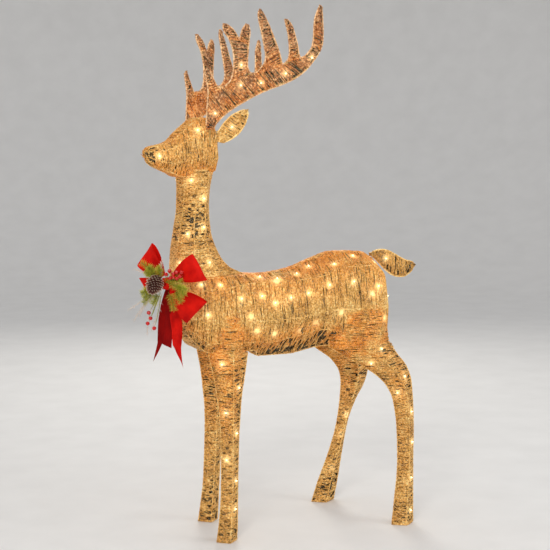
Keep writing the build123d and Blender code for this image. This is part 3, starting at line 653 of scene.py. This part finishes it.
WIRE = grained(
    "frame_paint", 90, 3, [(0.35, (0.46, 0.27, 0.075)), (0.65, (0.68, 0.44, 0.15))],
    (270, 2, 0.15, 0.0004), Metallic=0.5, Roughness=0.45,
)
PLASTIC = grained(
    "socket_plastic", 120, 3, [(0.35, (0.60, 0.46, 0.24)), (0.65, (0.76, 0.64, 0.40))],
    (360, 2, 0.15, 0.0004), Metallic=0.0, Roughness=0.45,
)


def lamp_material():
    look = Look("lit_bulb")
    grain = look.noise(look.object_space(), 700, 1)
    look.link(look.ramp(grain, [(0.3, (1.0, 0.72, 0.36)), (0.7, (1.0, 0.86, 0.58))]), "Base Color")
    look.link(look.ramp(grain, [(0.3, (1.0, 0.66, 0.30)), (0.7, (1.0, 0.84, 0.55))]), "Emission Color")
    look.set(Roughness=0.12, Emission_Strength=2.1, Coat_Weight=0.5)
    return look.material


LAMP = lamp_material()


# ---- bulbs ----
def node_points(node):
    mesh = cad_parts[node].data
    flat = np.empty(len(mesh.vertices) * 3)
    mesh.vertices.foreach_get("co", flat)
    world = np.array(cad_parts[node].matrix_world)
    points = flat.reshape(-1, 3) @ world[:3, :3].T + world[:3, 3]
    return points / MM + CENTRE


def bulb_axes(node):
    """The base, on the wrap, and the direction of each bulb of a CAD node."""
    left = node_points(node)
    found = []
    while len(left):
        near = np.linalg.norm(left - left[0], axis=1) < 12
        one = left[near]
        left = left[~near]
        middle = (one.min(0) + one.max(0)) / 2
        _, _, axes = np.linalg.svd(one - one.mean(0))
        axis = axes[0]
        height = (one - middle) @ axis
        radial = np.linalg.norm((one - middle) - height[:, None] * axis, axis=1)
        if radial[height > height.max() - 0.3].mean() > radial[height < height.min() + 0.3].mean():
            axis = -axis
        height = (one - middle) @ axis
        found.append((middle + axis * (height.min() + 2.9), axis))
    return found


def lathed(places, profile, sides=10):
    """Round forms with one profile of (radius, height) at many places."""
    turn = np.arange(sides) * (2 * pi / sides)
    points, faces, start = [], [], 0
    for base, axis in places:
        side = unit(np.cross(axis, UP if abs(axis[2]) < 0.9 else np.array([1.0, 0.0, 0.0])))
        other = np.cross(axis, side)
        ring = np.cos(turn)[:, None] * side + np.sin(turn)[:, None] * other
        points += [base + ring * radius + axis * height for radius, height in profile]
        faces.append(loft_faces(start, len(profile), sides))
        start += len(profile) * sides
    return np.concatenate(points), np.concatenate(faces)


# Profiles: radius, height.
LENS = [
    (0.05, 0.2), (2.45, 0.3), (2.6, 1.6), (2.55, 3.4), (2.15, 4.8), (1.5, 5.9), (1.15, 6.5), (0.7, 7.0),
    (0.05, 7.15),
]
COLLAR = [
    (0.1, -2.4), (3.0, -2.3), (3.1, 0.3), (3.45, 0.7), (3.4, 1.3), (2.75, 1.5), (2.6, 0.6), (0.1, 0.4),
]


def bulbs_of(node, body):
    places = bulb_axes(node)
    lamps = make_mesh(f"{node}_lamps", *lathed(places, LENS), body, LAMP)
    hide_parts(node)
    collars = make_mesh(f"{node}_collars", *lathed(places, COLLAR), body, PLASTIC)
    return np.array([base + axis * 4 for base, axis in places])


# ---- the deer ----
def build_section(body, node, spans, bulbs, antler=False, ribs=(), rib_ends=(0.0, 1.0), rim=None):
    """The under layer, the loose turns and the frame wires of one body's sections."""
    cool, warm = (COPPER_COOL, COPPER_WARM) if antler else (GOLD_COOL, GOLD_WARM)
    thread = thread_material(f"{body}_thread_look", cool, warm, bulbs, 0.2, 2.6 if antler else 2.1)
    under = thread_material(f"{body}_under_painted_shade_look", UNDER_PAINTED_SHADE, UNDER_PAINTED_SHADE, bulbs, 0.0, 2.1, 0.0, 0.9, 0.03)
    layers = zip(*(skin_and_turns(span) for span in spans))
    for word, chunks, look in zip(("under_layer", "thread_1", "thread_2"), layers, (under, thread, thread)):
        verts, faces, values, uv = merged(chunks)
        piece = make_mesh(f"{body}_{word}", verts, faces, body, look, values, uv)
        if word == "under_layer":
            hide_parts(node)
    if ribs:
        rib_wires(f"{body}_ribs", body, ribs, thread, rib_ends)
    if rim:
        rim_wire(f"{body}_rim", body, *rim[:2], thread, rim[2])


def shoulder_rings(rows, side):
    """The body's own thread where it runs down over the top of a leg."""
    _, front, rear, middle, half = rows[0]
    wide, mid = rear - front, (front + rear) / 2
    low = [
        (front, middle), (front + 0.3 * wide, middle + 0.6 * half), (mid, middle + half),
        (rear - 0.3 * wide, middle + 0.6 * half), (rear, middle), (rear - 0.3 * wide, middle - 0.6 * half),
        (mid, middle - half), (front + 0.3 * wide, middle - 0.6 * half),
    ]
    high = [
        (front + 8, middle), (front + 0.22 * wide, 117), (mid, 123), (rear - 0.22 * wide, 117),
        (rear - 8, middle), (rear - 0.3 * wide, 40), (mid, 36), (front + 0.3 * wide, 40),
    ]
    low, high = np.array(low), np.array(high)
    rings = []
    for z, share, tuck in ((568.5, 0.0, 0), (590, 0.45, 0), (620, 0.9, 0), (664, 1.0, 0), (716, 1.0, 20)):
        ring = low + (high - low) * share
        ring[1:4, 1] -= tuck
        rings.append([(x, side * y, z) for x, y in ring])
    return np.array(rings, float)


LEGS = (
    ("leg_front_left", FRONT_LEFT_LEG, LEFT), ("leg_front_right", FRONT_RIGHT_LEG, RIGHT),
    ("leg_rear_left", REAR_LEFT_LEG, LEFT), ("leg_rear_right", REAR_RIGHT_LEG, RIGHT),
)
torso = ribbed_rings(TORSO, lambda *point: point)
torso_spans = [{
    "rings": capped(torso, (-10, 0, 0), (11, 0, 0)), "seed": 11, "pitch": PITCH, "tilt": 16.0,
    "rows": 150,
    # Orange top and lower bands, paler sides and a darker belly: partly denser thread, partly painted shade
    # on the lower band and belly and painted light on the sides.
    "warm": (1.0, 1.0, 0.55, 0.05, 0.8, 0.3, 0.3, 0.8, 0.05, 0.55),
    "pale": (0.0, 0.0, 0.02, 0.05, -0.01, -0.05, -0.05, -0.01, 0.05, 0.02),
    "open": (0.0, 0.0, 0.02, 0.04, 0.1, 0.7, 0.7, 0.1, 0.04, 0.02),
    "gaps": ((0, 0.3), (0.36, 0.3), (0.42, 1.0), (0.62, 1.0), (0.74, 0.6), (1, 1.0)),
}]
for leg, rows, side in LEGS:
    torso_spans.append({
        "rings": shoulder_rings(rows, side), "seed": 300 + 3 * len(leg) + side, "pitch": PITCH,
        "tilt": 9.0, "parts": 2, "rows": 30, "warm": (0.9, 0.9, 0.8, 0.8, 0.7, 0.5, 0.5, 0.7),
        "pale": (0.0,) * 8, "open": (0.025,) * 8, "gaps": ((0, 1), (1, 1)),
    })
# Painted glow of lamps of the string inside the body, as if shining through the thread at these places; no
# lamps are built there. Along, out and up.
INNER_TORSO = [
    (-130, 118, 680), (-110, 112, 636), (-47, 104, 620), (41, 104, 620), (92, 112, 644), (171, 118, 676),
    (284, 108, 728), (330, 98, 648), (358, 60, 690), (-34, 84, 780), (129, 76, 836),
]
inner = [(x, side * y, z) for x, y, z in INNER_TORSO for side in (LEFT, RIGHT)]
build_section("torso", "torso_wrap", torso_spans, [*bulbs_of("torso_bulbs", "torso"), *inner], ribs=[torso])

neck, head = neck_rings(), ribbed_rings(HEAD, head_point)
build_section("neck_head", "neck_head_wrap", [
    {
        "rings": neck, "seed": 31, "pitch": PITCH, "tilt": 12.0,
        "warm": (0.3, 0.15, 0.1, 0.35, 0.35, 0.1, 0.15, 0.3),
        "pale": (0.03, 0.08, 0.08, 0.03, 0.03, 0.08, 0.08, 0.03),
        "open": (0.3, 0.45, 0.5, 0.3, 0.3, 0.5, 0.45, 0.3),
        "gaps": ((0, 0.04), (0.32, 0.06), (0.42, 0.65), (0.66, 0.5), (0.74, 0.08), (1, 0.06)),
    },
    {
        "rings": capped(head, -FORWARD * 2, FORWARD * 6), "seed": 41, "pitch": 1.9, "tilt": 8.0,
        # The head's underside is painted more orange and darker, as painted shade.
        "warm": (0.7, 0.7, 0.4, 0.3, 0.95, 0.95, 0.3, 0.4),
        "pale": (0.04, 0.04, 0.04, 0.0, -0.06, -0.06, 0.0, 0.04),
        "open": (0.1, 0.1, 0.4, 0.5, 0.3, 0.3, 0.5, 0.4),
        "gaps": ((0, 0.1), (0.84, 0.1), (0.9, 1.5), (1, 1.5)),
    },
], bulbs_of("neck_head_bulbs", "neck_head"), ribs=[neck, head], rib_ends=(0.0, 0.98))

# Painted glow of lamps inside the far rear leg, as if shining through its thread; no lamps are built there.
# Along and up.
INNER_FAR_LEG = [(286, 393), (304, 300), (288, 233), (262, 119)]
for leg, rows, side in LEGS:
    bulbs = list(bulbs_of(f"{leg}_bulbs", leg))
    if leg == "leg_rear_right":
        heights, inner_sides = [-row[0] for row in rows], [row[3] - row[4] for row in rows]
        bulbs += [(x, np.interp(-z, heights, inner_sides), z) for x, z in INNER_FAR_LEG]
    rings = leg_rings(rows, side)
    build_section(leg, f"{leg}_wrap", [{
        "rings": capped(rings, (0, 0, 0), (0, 0, 0)), "seed": 50 + 7 * len(leg) + side, "pitch": PITCH,
        "tilt": 9.0,
        "warm": (1.0, 0.75, 0.2, 0.6), "warm_along": ((0, 1), (0.3, 0.7), (0.5, 0.25), (1, 0.2)),
        "pale": (0.0, 0.02, 0.0, 0.0), "open": (0.07, 0.13, 0.45, 0.34), "slot": 4.6,
        "gaps": ((0, 0.1), (0.1, 0.6), (0.32, 0.8), (0.45, 0.3), (0.7, 0.45), (0.82, 0.8), (1, 0.8)),
    }], bulbs, ribs=[rings])

for side, word in ((LEFT, "left"), (RIGHT, "right")):
    for part, axes, outline, ladders, half, pitch in (
        ("antler", antler_axes(side), ANTLER, ANTLER_LADDERS, 3.9, 1.7),
        ("ear", ear_axes(side), EAR, EAR_LADDERS, 3.4, 1.5),
    ):
        antler = part == "antler"
        spans = []
        for number, (near_ids, far_ids) in enumerate(ladders):
            spans.append({
                "rings": ladder_rings(axes, outline, near_ids, far_ids, half, 16),
                "seed": 200 + 20 * number + side, "pitch": pitch, "tilt": 3.0, "jitter": 1.0, "parts": 1,
                "rows": 50, "width": 0.9, "depth": 1.3, "sink": 1.4, "slot": 3.6,
                "warm": (1.0,) * 8 if antler else (0.15,) * 8,
                "warm_along": ((0, 1.0), (0.5, 0.9), (1, 0.25)) if number == 0 else ((0, 0.9), (1, 0.1)),
                "pale": (0.1, 0.0, -0.03, 0.0, 0.1, 0.0, -0.03, 0.0),
                "open": (0.0, 0.35, 0.35, 0.7, 0.0, 0.7, 0.35, 0.35),
                "gaps": ((0, 0.4), (0.4, 0.8), (1, 1)) if antler else ((0, 0.2), (0.4, 0.4), (1, 0.5)),
            })
        body = f"{part}_{word}"
        bulbs = bulbs_of(f"{body}_bulbs" if antler else f"{body}_bulb", body)
        build_section(body, f"{body}_wrap", spans, bulbs, antler, rim=(axes, outline, 2.3))

near_ids, far_ids = TAIL_LADDERS[0]
build_section("tail", "tail_wrap", [{
    "rings": ladder_rings(TAIL_AXES, TAIL, near_ids, far_ids, 6.0, 24), "seed": 401, "pitch": 1.6,
    "tilt": 4.0, "jitter": 1.2, "slot": 3.6, "parts": 1, "rows": 60, "warm": (0.1,) * 8,
    "pale": (-0.02, -0.1, -0.16, -0.13, -0.06, -0.13, -0.16, -0.1),
    "open": (0.1, 0.35, 0.35, 0.4, 0.2, 0.4, 0.35, 0.35),
    "gaps": ((0, 0.2), (0.25, 0.35), (0.4, 0.6), (1, 0.6)),
}], bulbs_of("tail_bulb", "tail"), rim=(TAIL_AXES, TAIL, 2.6))

# CAD pieces that stay: wires, pins, tubes, sockets and cables.
for name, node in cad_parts.items():
    metal = name != "pinecone" and any(word in name for word in ("frame", "tube", "pin", "wire"))
    if metal or "light_string" in name:
        node.data.materials.clear()
        node.data.materials.append(PLASTIC if "light_string" in name else WIRE)


# ---- bow ----
def ribbon_material(name, dark, light):
    look = Look(name)
    space = look.object_space()
    weave = look.noise(space, 900, 1)
    shade = look.noise(space, 24, 2)
    base = look.ramp(shade, [(0.3, dark), (0.7, light)])
    base = look.mix(look.math("MULTIPLY", weave, 0.22), base, (0.30, 0.0, 0.002))
    look.link(base, "Base Color")
    # The ribbon gives a faint painted glow of its own colour.
    look.link(base, "Emission Color")
    look.set(Roughness=0.55, Specular_IOR_Level=0.06, Sheen_Weight=0.02, Sheen_Roughness=0.4)
    look.set(Emission_Strength=0.12)
    look.bump(weave, 0.25, 0.0003)
    return look.material


RIBBON = ribbon_material("red_ribbon_look", (0.42, 0.003, 0.002), (0.80, 0.012, 0.005))
# A darker copy of the ribbon look: painted shade on the left tail that hangs behind.
SHADED_RIBBON_COPY = ribbon_material("red_ribbon_painted_shade_look", (0.13, 0.001, 0.001), (0.26, 0.003, 0.002))
KNOT = (-8.0, 785.0)


def ribbon_sheet(name, flat_points, depth, ribbon):
    """A sheet from the places across and up of a grid of points, and how far out each one is."""
    points = bow_point(flat_points[..., :1], flat_points[..., 1:], depth[..., None])
    index = np.arange(depth.size).reshape(depth.shape)
    corners = [index[:-1, :-1], index[:-1, 1:], index[1:, 1:], index[1:, :-1]]
    faces = np.stack(corners, axis=-1).reshape(-1, 4)
    piece = make_mesh(name, points.reshape(-1, 3), faces, "torso", ribbon)
    return piece


def along_and_across(rows, columns):
    return np.linspace(0.0, 1.0, rows)[:, None], np.linspace(0.0, 1.0, columns)[None, :]


def ribbon_loop(name, base, tip, deep, flat, area, phase):
    """A loop of ribbon from its gathered base out to its broad end and back behind itself."""
    v, w = along_and_across(44, 15)
    reach = ((1 - np.cos(2 * pi * v)) / 2) ** 0.82
    base, tip = np.asarray(base, float), np.asarray(tip, float)
    edge = (tip[0] - base[0])[None, None] * reach[..., None] + base[0]
    other = (tip[1] - base[1])[None, None] * reach[..., None] + base[1]
    bulge = 0.09 * np.sin(pi * np.clip(reach, 0, 1) ** 0.8)[..., None] * (w[..., None] - 0.5) * 2
    flat_points = edge + (other - edge) * (w[..., None] + bulge)
    out = 11 + deep * np.sin(2 * pi * v) * (0.35 + 0.65 * reach)
    out = out + 3.2 * np.cos(w * 4 * pi + phase) * (1 - reach) + 2.0 * np.sin(w * pi * 2 + phase) * reach
    return ribbon_sheet(name, flat_points, out, RIBBON)


def ribbon_tail(name, left, right, out, flat, area, phase, fork, ribbon):
    """A hanging end of ribbon between two edge lines, cut to a fork."""
    v, w = along_and_across(40, 13)
    left, right = np.asarray(left, float), np.asarray(right, float)
    notch = fork * (1 - np.abs(w - 0.5) * 2)
    edge = left[0] + (left[1] - left[0]) * v[..., None]
    other = right[0] + (right[1] - right[0]) * v[..., None]
    spread = 9 * np.sin(pi * np.clip(v * 1.35, 0, 1)) ** 0.8
    edge[..., 0] -= spread
    other[..., 0] += spread
    flat_points = edge + (other - edge) * w[..., None]
    flat_points[..., 1] += notch * v * v
    depth = out + 5.0 * np.sin(v * 7 + phase) * v + 3.0 * np.cos(w * 3 * pi + phase) * (1 - 0.5 * v)
    return ribbon_sheet(name, flat_points, depth, ribbon)


# The knot: a pleated band drawn tight round the loops.
turns, heights = 48, 14
points = []
for j in range(heights):
    t = j / (heights - 1)
    for i in range(turns):
        a = 2 * pi * i / turns
        radius = 18.5 * sin(pi * (0.06 + 0.88 * t)) ** 0.45 * (1 + 0.055 * sin(9 * a + 2 * t))
        points.append(bow_point(KNOT[0] + radius * cos(a), KNOT[1] + radius * sin(a), -6 + 31 * t))
knot = make_mesh("bow_knot_ribbon", points, loft_faces(0, heights, turns), "torso", RIBBON)
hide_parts("bow_knot")

# Across and up at the gathered base and at the tip, depth, flat size, area and phase of the ripples.
LOOPS = (
    ("upper_left", ((-26, 800), (-8, 812)), ((-104, 837), (-54, 903)), 15, (0.075, 0.21), 0.0125, 0.4),
    ("left", ((-24, 768), (-24, 792)), ((-74, 752), (-98, 798)), 11, (0.045, 0.16), 0.0058, 1.7),
    ("upper_right", ((6, 806), (14, 792)), ((83, 876), (131, 802)), 15, (0.08, 0.23), 0.0145, 2.6),
    ("lower_right", ((14, 776), (2, 764)), ((128, 737), (62, 672)), 15, (0.08, 0.23), 0.0145, 3.9),
)
loops = [ribbon_loop(f"bow_loop_{where}", *shape) for where, *shape in LOOPS]
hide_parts("bow_loops")
# Across and up at the top and foot of each edge, how far out, flat size, area, phase, fork and ribbon look;
# the left tail takes the copy painted darker as shade.
TAILS = (
    ("left", ((-20, 772), (-66, 546)), ((-8, 772), (-4, 590)), -14, (0.058, 0.2), 0.0072, 0.3,
     34, SHADED_RIBBON_COPY),
    ("right", ((-6, 772), (2, 600)), ((14, 772), (38, 534)), -10, (0.055, 0.215), 0.0088, 2.0,
     4, RIBBON),
)
tails = [ribbon_tail(f"bow_tail_{where}", *shape) for where, *shape in TAILS]
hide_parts("bow_tails")


# ---- pinecone, berries and sprigs ----
def tinted(name, stops, roughness, scale=500, sheen=0.0):
    look = Look(name)
    mottle = look.math("MULTIPLY", look.noise(look.object_space(), scale, 2), 0.3)
    tone = look.math("ADD", look.attribute("tint"), mottle)
    look.link(look.ramp(look.math("SUBTRACT", tone, 0.15, clamp=True), stops), "Base Color")
    look.set(Roughness=roughness, Sheen_Weight=sheen)
    look.bump(look.noise(look.object_space(), scale * 2, 2), 0.3, 0.0004)
    return look.material


CONE_LOOK = tinted("pinecone_look", [
    (0.0, (0.035, 0.008, 0.006)), (0.5, (0.17, 0.035, 0.022)), (0.8, (0.36, 0.13, 0.08)),
    (1.0, (0.80, 0.66, 0.50)),
], 0.6)
NEEDLE_LOOK = tinted("sprig_look", [
    (0.0, (0.13, 0.15, 0.010)), (0.45, (0.46, 0.50, 0.03)), (0.8, (0.80, 0.74, 0.10)),
    (1.0, (0.95, 0.84, 0.30)),
], 0.5)
FROST_LOOK = tinted("frosted_needle_look", [
    (0.0, (0.55, 0.42, 0.34)), (0.5, (0.85, 0.74, 0.64)), (1.0, (1.0, 0.95, 0.90)),
], 0.3, 900)
BERRY_LOOK = grained(
    "berry_look", 160, 2, [(0.35, (0.42, 0.004, 0.005)), (0.7, (0.80, 0.016, 0.012))],
    (900, 1, 0.08, 0.0003), Roughness=0.22, Coat_Weight=0.4, Coat_Roughness=0.1,
)


def evenly_tinted(name, mesh, look, tint):
    return make_mesh(name, *mesh, "torso", look, {"tint": np.full(len(mesh[0]), tint)})


rng = np.random.default_rng(7)
CONE_SCALES = 130
GOLDEN_ANGLE = 2.39996
THIRD = 2.0944  # of a turn
HANG = unit(FACING * 0.72 - UP * 0.70)
CONE_UP = unit(np.cross(HANG, ACROSS))
CONE_FOOT = bow_point(-25, 808, 22)
points, faces, tints = [], [], []
for j in range(CONE_SCALES):
    t = (j + 0.5) / CONE_SCALES
    a = j * GOLDEN_ANGLE
    ring = 23.0 * sin(pi * (0.16 + 0.76 * t)) ** 0.8
    out_dir = ACROSS * cos(a) + CONE_UP * sin(a)
    side_dir = -ACROSS * sin(a) + CONE_UP * cos(a)
    foot = CONE_FOOT + HANG * (4 + 54 * t) + out_dir * ring * 0.35
    reach = (ring * 0.72 + 2.5) * rng.uniform(0.9, 1.1)
    lean = HANG * (3.5 + 5.0 * t)
    wide = 1.2 + 3.4 * sin(pi * (0.15 + 0.8 * t))
    shape = [(0.0, 0.55, 0.7), (0.55, 1.0, 0.9), (0.88, 0.8, 0.8), (1.0, 0.12, 0.4)]
    start = len(points)
    for along, spread, thick in shape:
        middle = foot + out_dir * reach * along + lean * along * along
        for across, rise in ((-1, 0.0), (0, 0.9), (1, 0.0), (0, -0.6)):
            points.append(middle + side_dir * wide * spread * across + HANG * rise * thick)
            tints.append(0.2 + 0.4 * along ** 2 + (0.5 if along > 0.85 else 0.0))
    faces += [*loft_faces(start, 4, 4), start + 12 + np.arange(4)]
cone = make_mesh("pinecone_scales", np.array(points), faces, "torso", CONE_LOOK, {"tint": np.array(tints)})
core_profile = [(0.2, 1), (9, 4), (13, 18), (12, 36), (7, 52), (0.3, 60)]
core = evenly_tinted("pinecone_core", lathed([(CONE_FOOT, HANG)], core_profile, 14), CONE_LOOK, 0.2)
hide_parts("pinecone")


BERRIES = [
    (10, 816), (22, 826), (34, 818), (24, 806), (46, 823), (36, 808), (56, 812), (47, 805), (62, 824),
    (-50, 700), (-44, 684), (-54, 668), (-32, 655),
]
BERRY = [
    (0.1, -6.0), (2.6, -5.6), (4.9, -3.6), (6.0, -0.4), (5.6, 2.6), (3.8, 4.9), (1.6, 5.8), (1.0, 5.2),
    (0.1, 5.0),
]
places = [(bow_point(across, up, 40.0), unit(FACING + UP * 0.3 * sin(across) + ACROSS * 0.3 * cos(up)))
          for across, up in BERRIES]
berries = make_mesh("berry_cluster", *lathed(places, BERRY, 16), "torso", BERRY_LOOK)
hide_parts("berries")
stalks = [
    [bow_point(KNOT[0] + (a - KNOT[0]) * s, KNOT[1] + (u - KNOT[1]) * s, 24 + 12 * s)
     for s in np.linspace(0.2, 0.94, 8)] for a, u in BERRIES
]
stalk = evenly_tinted("berry_stalks", tube_mesh(stalks, 0.8, 5), NEEDLE_LOOK, 0.2)


def needles_on(stems, length, count, spread, seed, thickness):
    """Tapered needles in a spiral round each stem."""
    rng = np.random.default_rng(seed)
    points, faces, tints = [], [], []
    for path in stems:
        path = np.asarray(path)
        for j in range(count):
            t = 0.12 + 0.88 * (j + 0.5) / count
            x = t * (len(path) - 1)
            i = min(int(x), len(path) - 2)
            foot = path[i] + (path[i + 1] - path[i]) * (x - i)
            ahead = unit(path[i + 1] - path[i])
            side = unit(np.cross(ahead, FACING))
            other = np.cross(ahead, side)
            a = j * GOLDEN_ANGLE + rng.uniform(-0.3, 0.3)
            away = side * cos(a) + other * sin(a)
            direction = unit(ahead * (1.1 - spread) + away * spread)
            reach = length * rng.uniform(0.7, 1.15) * (1.0 - 0.35 * t)
            u = unit(np.cross(direction, FACING + UP * 0.2))
            w = np.cross(direction, u)
            start = len(points)
            for share, wide in ((0.0, 0.6), (0.5, 1.0), (1.0, 0.12)):
                middle = foot + direction * reach * share + away * 1.2 * share * share
                for k in range(3):
                    points.append(middle + (u * cos(THIRD * k) + w * sin(THIRD * k)) * thickness * wide)
                    tints.append(0.25 + 0.55 * share + rng.uniform(-0.1, 0.1))
            faces += [*loft_faces(start, 3, 3)]
    return np.array(points), faces, {"tint": np.clip(tints, 0, 1)}


def stem(start, end, out_start, out_end, bow):
    """A bent path from one place at the bow to another."""
    path = []
    for t in np.linspace(0, 1, 9):
        across = start[0] + (end[0] - start[0]) * t + bow * sin(pi * t)
        up = start[1] + (end[1] - start[1]) * t
        path.append(bow_point(across, up, out_start + (out_end - out_start) * t))
    return path


def sprig(stems_name, needles_name, rows, radius, sides, tint, look, *needles):
    """Bent stems and the needles on them."""
    paths = [stem(*row) for row in rows]
    stems = evenly_tinted(stems_name, tube_mesh(paths, radius, sides), look, tint)
    points, faces, values = needles_on(paths, *needles)
    pieces = stems, make_mesh(needles_name, points, faces, "torso", look, values)
    return pieces[1]


# Stems: start and end across and up, how far out at the start and the end, and the bend.
GREEN_STEMS = [
    ((-30, 806), (-74, 848), 22, 42, 5), ((-40, 772), (-66, 742), 22, 40, -4),
    ((2, 790), (56, 778), 20, 40, 3), ((-22, 806), (-16, 838), 26, 42, 4),
    ((4, 762), (34, 712), 18, 38, 4), ((-38, 768), (-70, 728), 22, 40, 5),
    ((6, 800), (62, 800), 22, 40, -4), ((-30, 758), (-38, 726), 24, 40, 3),
    ((34, 786), (70, 758), 26, 40, 4), ((36, 770), (60, 738), 26, 40, -3),
    ((40, 776), (76, 776), 26, 40, 2), ((-40, 806), (-60, 822), 30, 42, 2),
    ((-34, 812), (-48, 836), 30, 42, -2), ((-52, 770), (-76, 756), 26, 40, 2),
]
FROSTED_STEMS = [
    ((-34, 768), (-122, 704), 26, 38, 6), ((-32, 762), (-82, 690), 26, 40, -6),
    ((-26, 756), (-62, 632), 20, 30, -12), ((-14, 806), (-4, 856), 26, 36, -5),
    ((-36, 764), (-104, 672), 28, 36, -4), ((-20, 752), (-44, 648), 22, 34, 6),
    ((-34, 800), (-96, 826), 24, 40, 3),
]
green = sprig("sprig_stems", "sprig_needles", GREEN_STEMS, 1.1, 5, 0.15, NEEDLE_LOOK, 20, 80, 0.8, 21, 0.75)
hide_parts("sprigs")
sprig("frosted_stems", "frosted_needles", FROSTED_STEMS, 1.0, 4, 0.5, FROST_LOOK, 14, 34, 0.5, 33, 0.8)


# ---- floor, light and camera ----
FLOOR = grained(
    "pale_floor", 6, 3, [(0.3, (0.76, 0.755, 0.74)), (0.7, (0.80, 0.795, 0.78))], Roughness=0.7
)


def studio_floor():
    """A level floor that curves up into a wall far out all round."""
    profile = [(0.001, 0.0), (1.0, 0.0), (2.5, 0.0), (4.0, 0.0), (6.0, 0.0)]
    profile += [(6.0 + 3.0 * sin(radians(a)), 3.0 - 3.0 * cos(radians(a))) for a in range(6, 91, 6)]
    profile += [(9.0, 5.0), (9.0, 8.0)]
    sides = 96
    turn = np.arange(sides) * (2 * pi / sides)
    points = [(r * cos(a), r * sin(a), z - 0.0005) for r, z in profile for a in turn]
    mesh = bpy.data.meshes.new("floor")
    faces = loft_faces(0, len(profile), sides)
    mesh.from_pydata(points, [], faces.tolist())
    mesh.polygons.foreach_set("use_smooth", np.full(len(faces), True))
    mesh.materials.append(FLOOR)
    piece = bpy.data.objects.new("floor", mesh)
    bpy.context.scene.collection.objects.link(piece)


studio_floor()

world = bpy.data.worlds.new("studio")
bpy.context.scene.world = world
world.use_nodes = True
world.node_tree.nodes["Background"].inputs["Color"].default_value = (0.80, 0.80, 0.82, 1.0)
world.node_tree.nodes["Background"].inputs["Strength"].default_value = 0.85


def area_light(name, place, target, size, power, colour):
    data = bpy.data.lights.new(name, "AREA")
    data.shape = "DISK"
    data.size, data.energy, data.color = size, power, colour
    light = bpy.data.objects.new(name, data)
    bpy.context.scene.collection.objects.link(light)
    light.location = place
    light.rotation_mode = "QUATERNION"
    light.rotation_quaternion = (Vector(target) - Vector(place)).to_track_quat("-Z", "Y")


area_light("key", (-2.2, -3.2, 2.8), (0, 0, 0.8), 1.6, 68, (1.0, 0.97, 0.92))
area_light("fill", (2.8, -2.2, 1.6), (0, 0, 0.7), 2.0, 30, (0.95, 0.97, 1.0))
area_light("back", (1.2, 3.2, 2.6), (0, 0, 0.9), 1.6, 45, (1.0, 0.96, 0.90))

EYE, TARGET = np.array([-1626.9, -3654.2, 1200.0]), np.array([0.0, 0.0, 788.0])
camera_data = bpy.data.cameras.new("camera")
camera_data.sensor_width, camera_data.lens = 36.0, 84.83
camera = bpy.data.objects.new("camera", camera_data)
bpy.context.scene.collection.objects.link(camera)
camera.location = Vector((EYE - CENTRE) * MM)
camera.rotation_mode = "QUATERNION"
camera.rotation_quaternion = Vector(TARGET - EYE).to_track_quat("-Z", "Y")
bpy.context.scene.camera = camera
bpy.context.scene.view_settings.view_transform = "Standard"
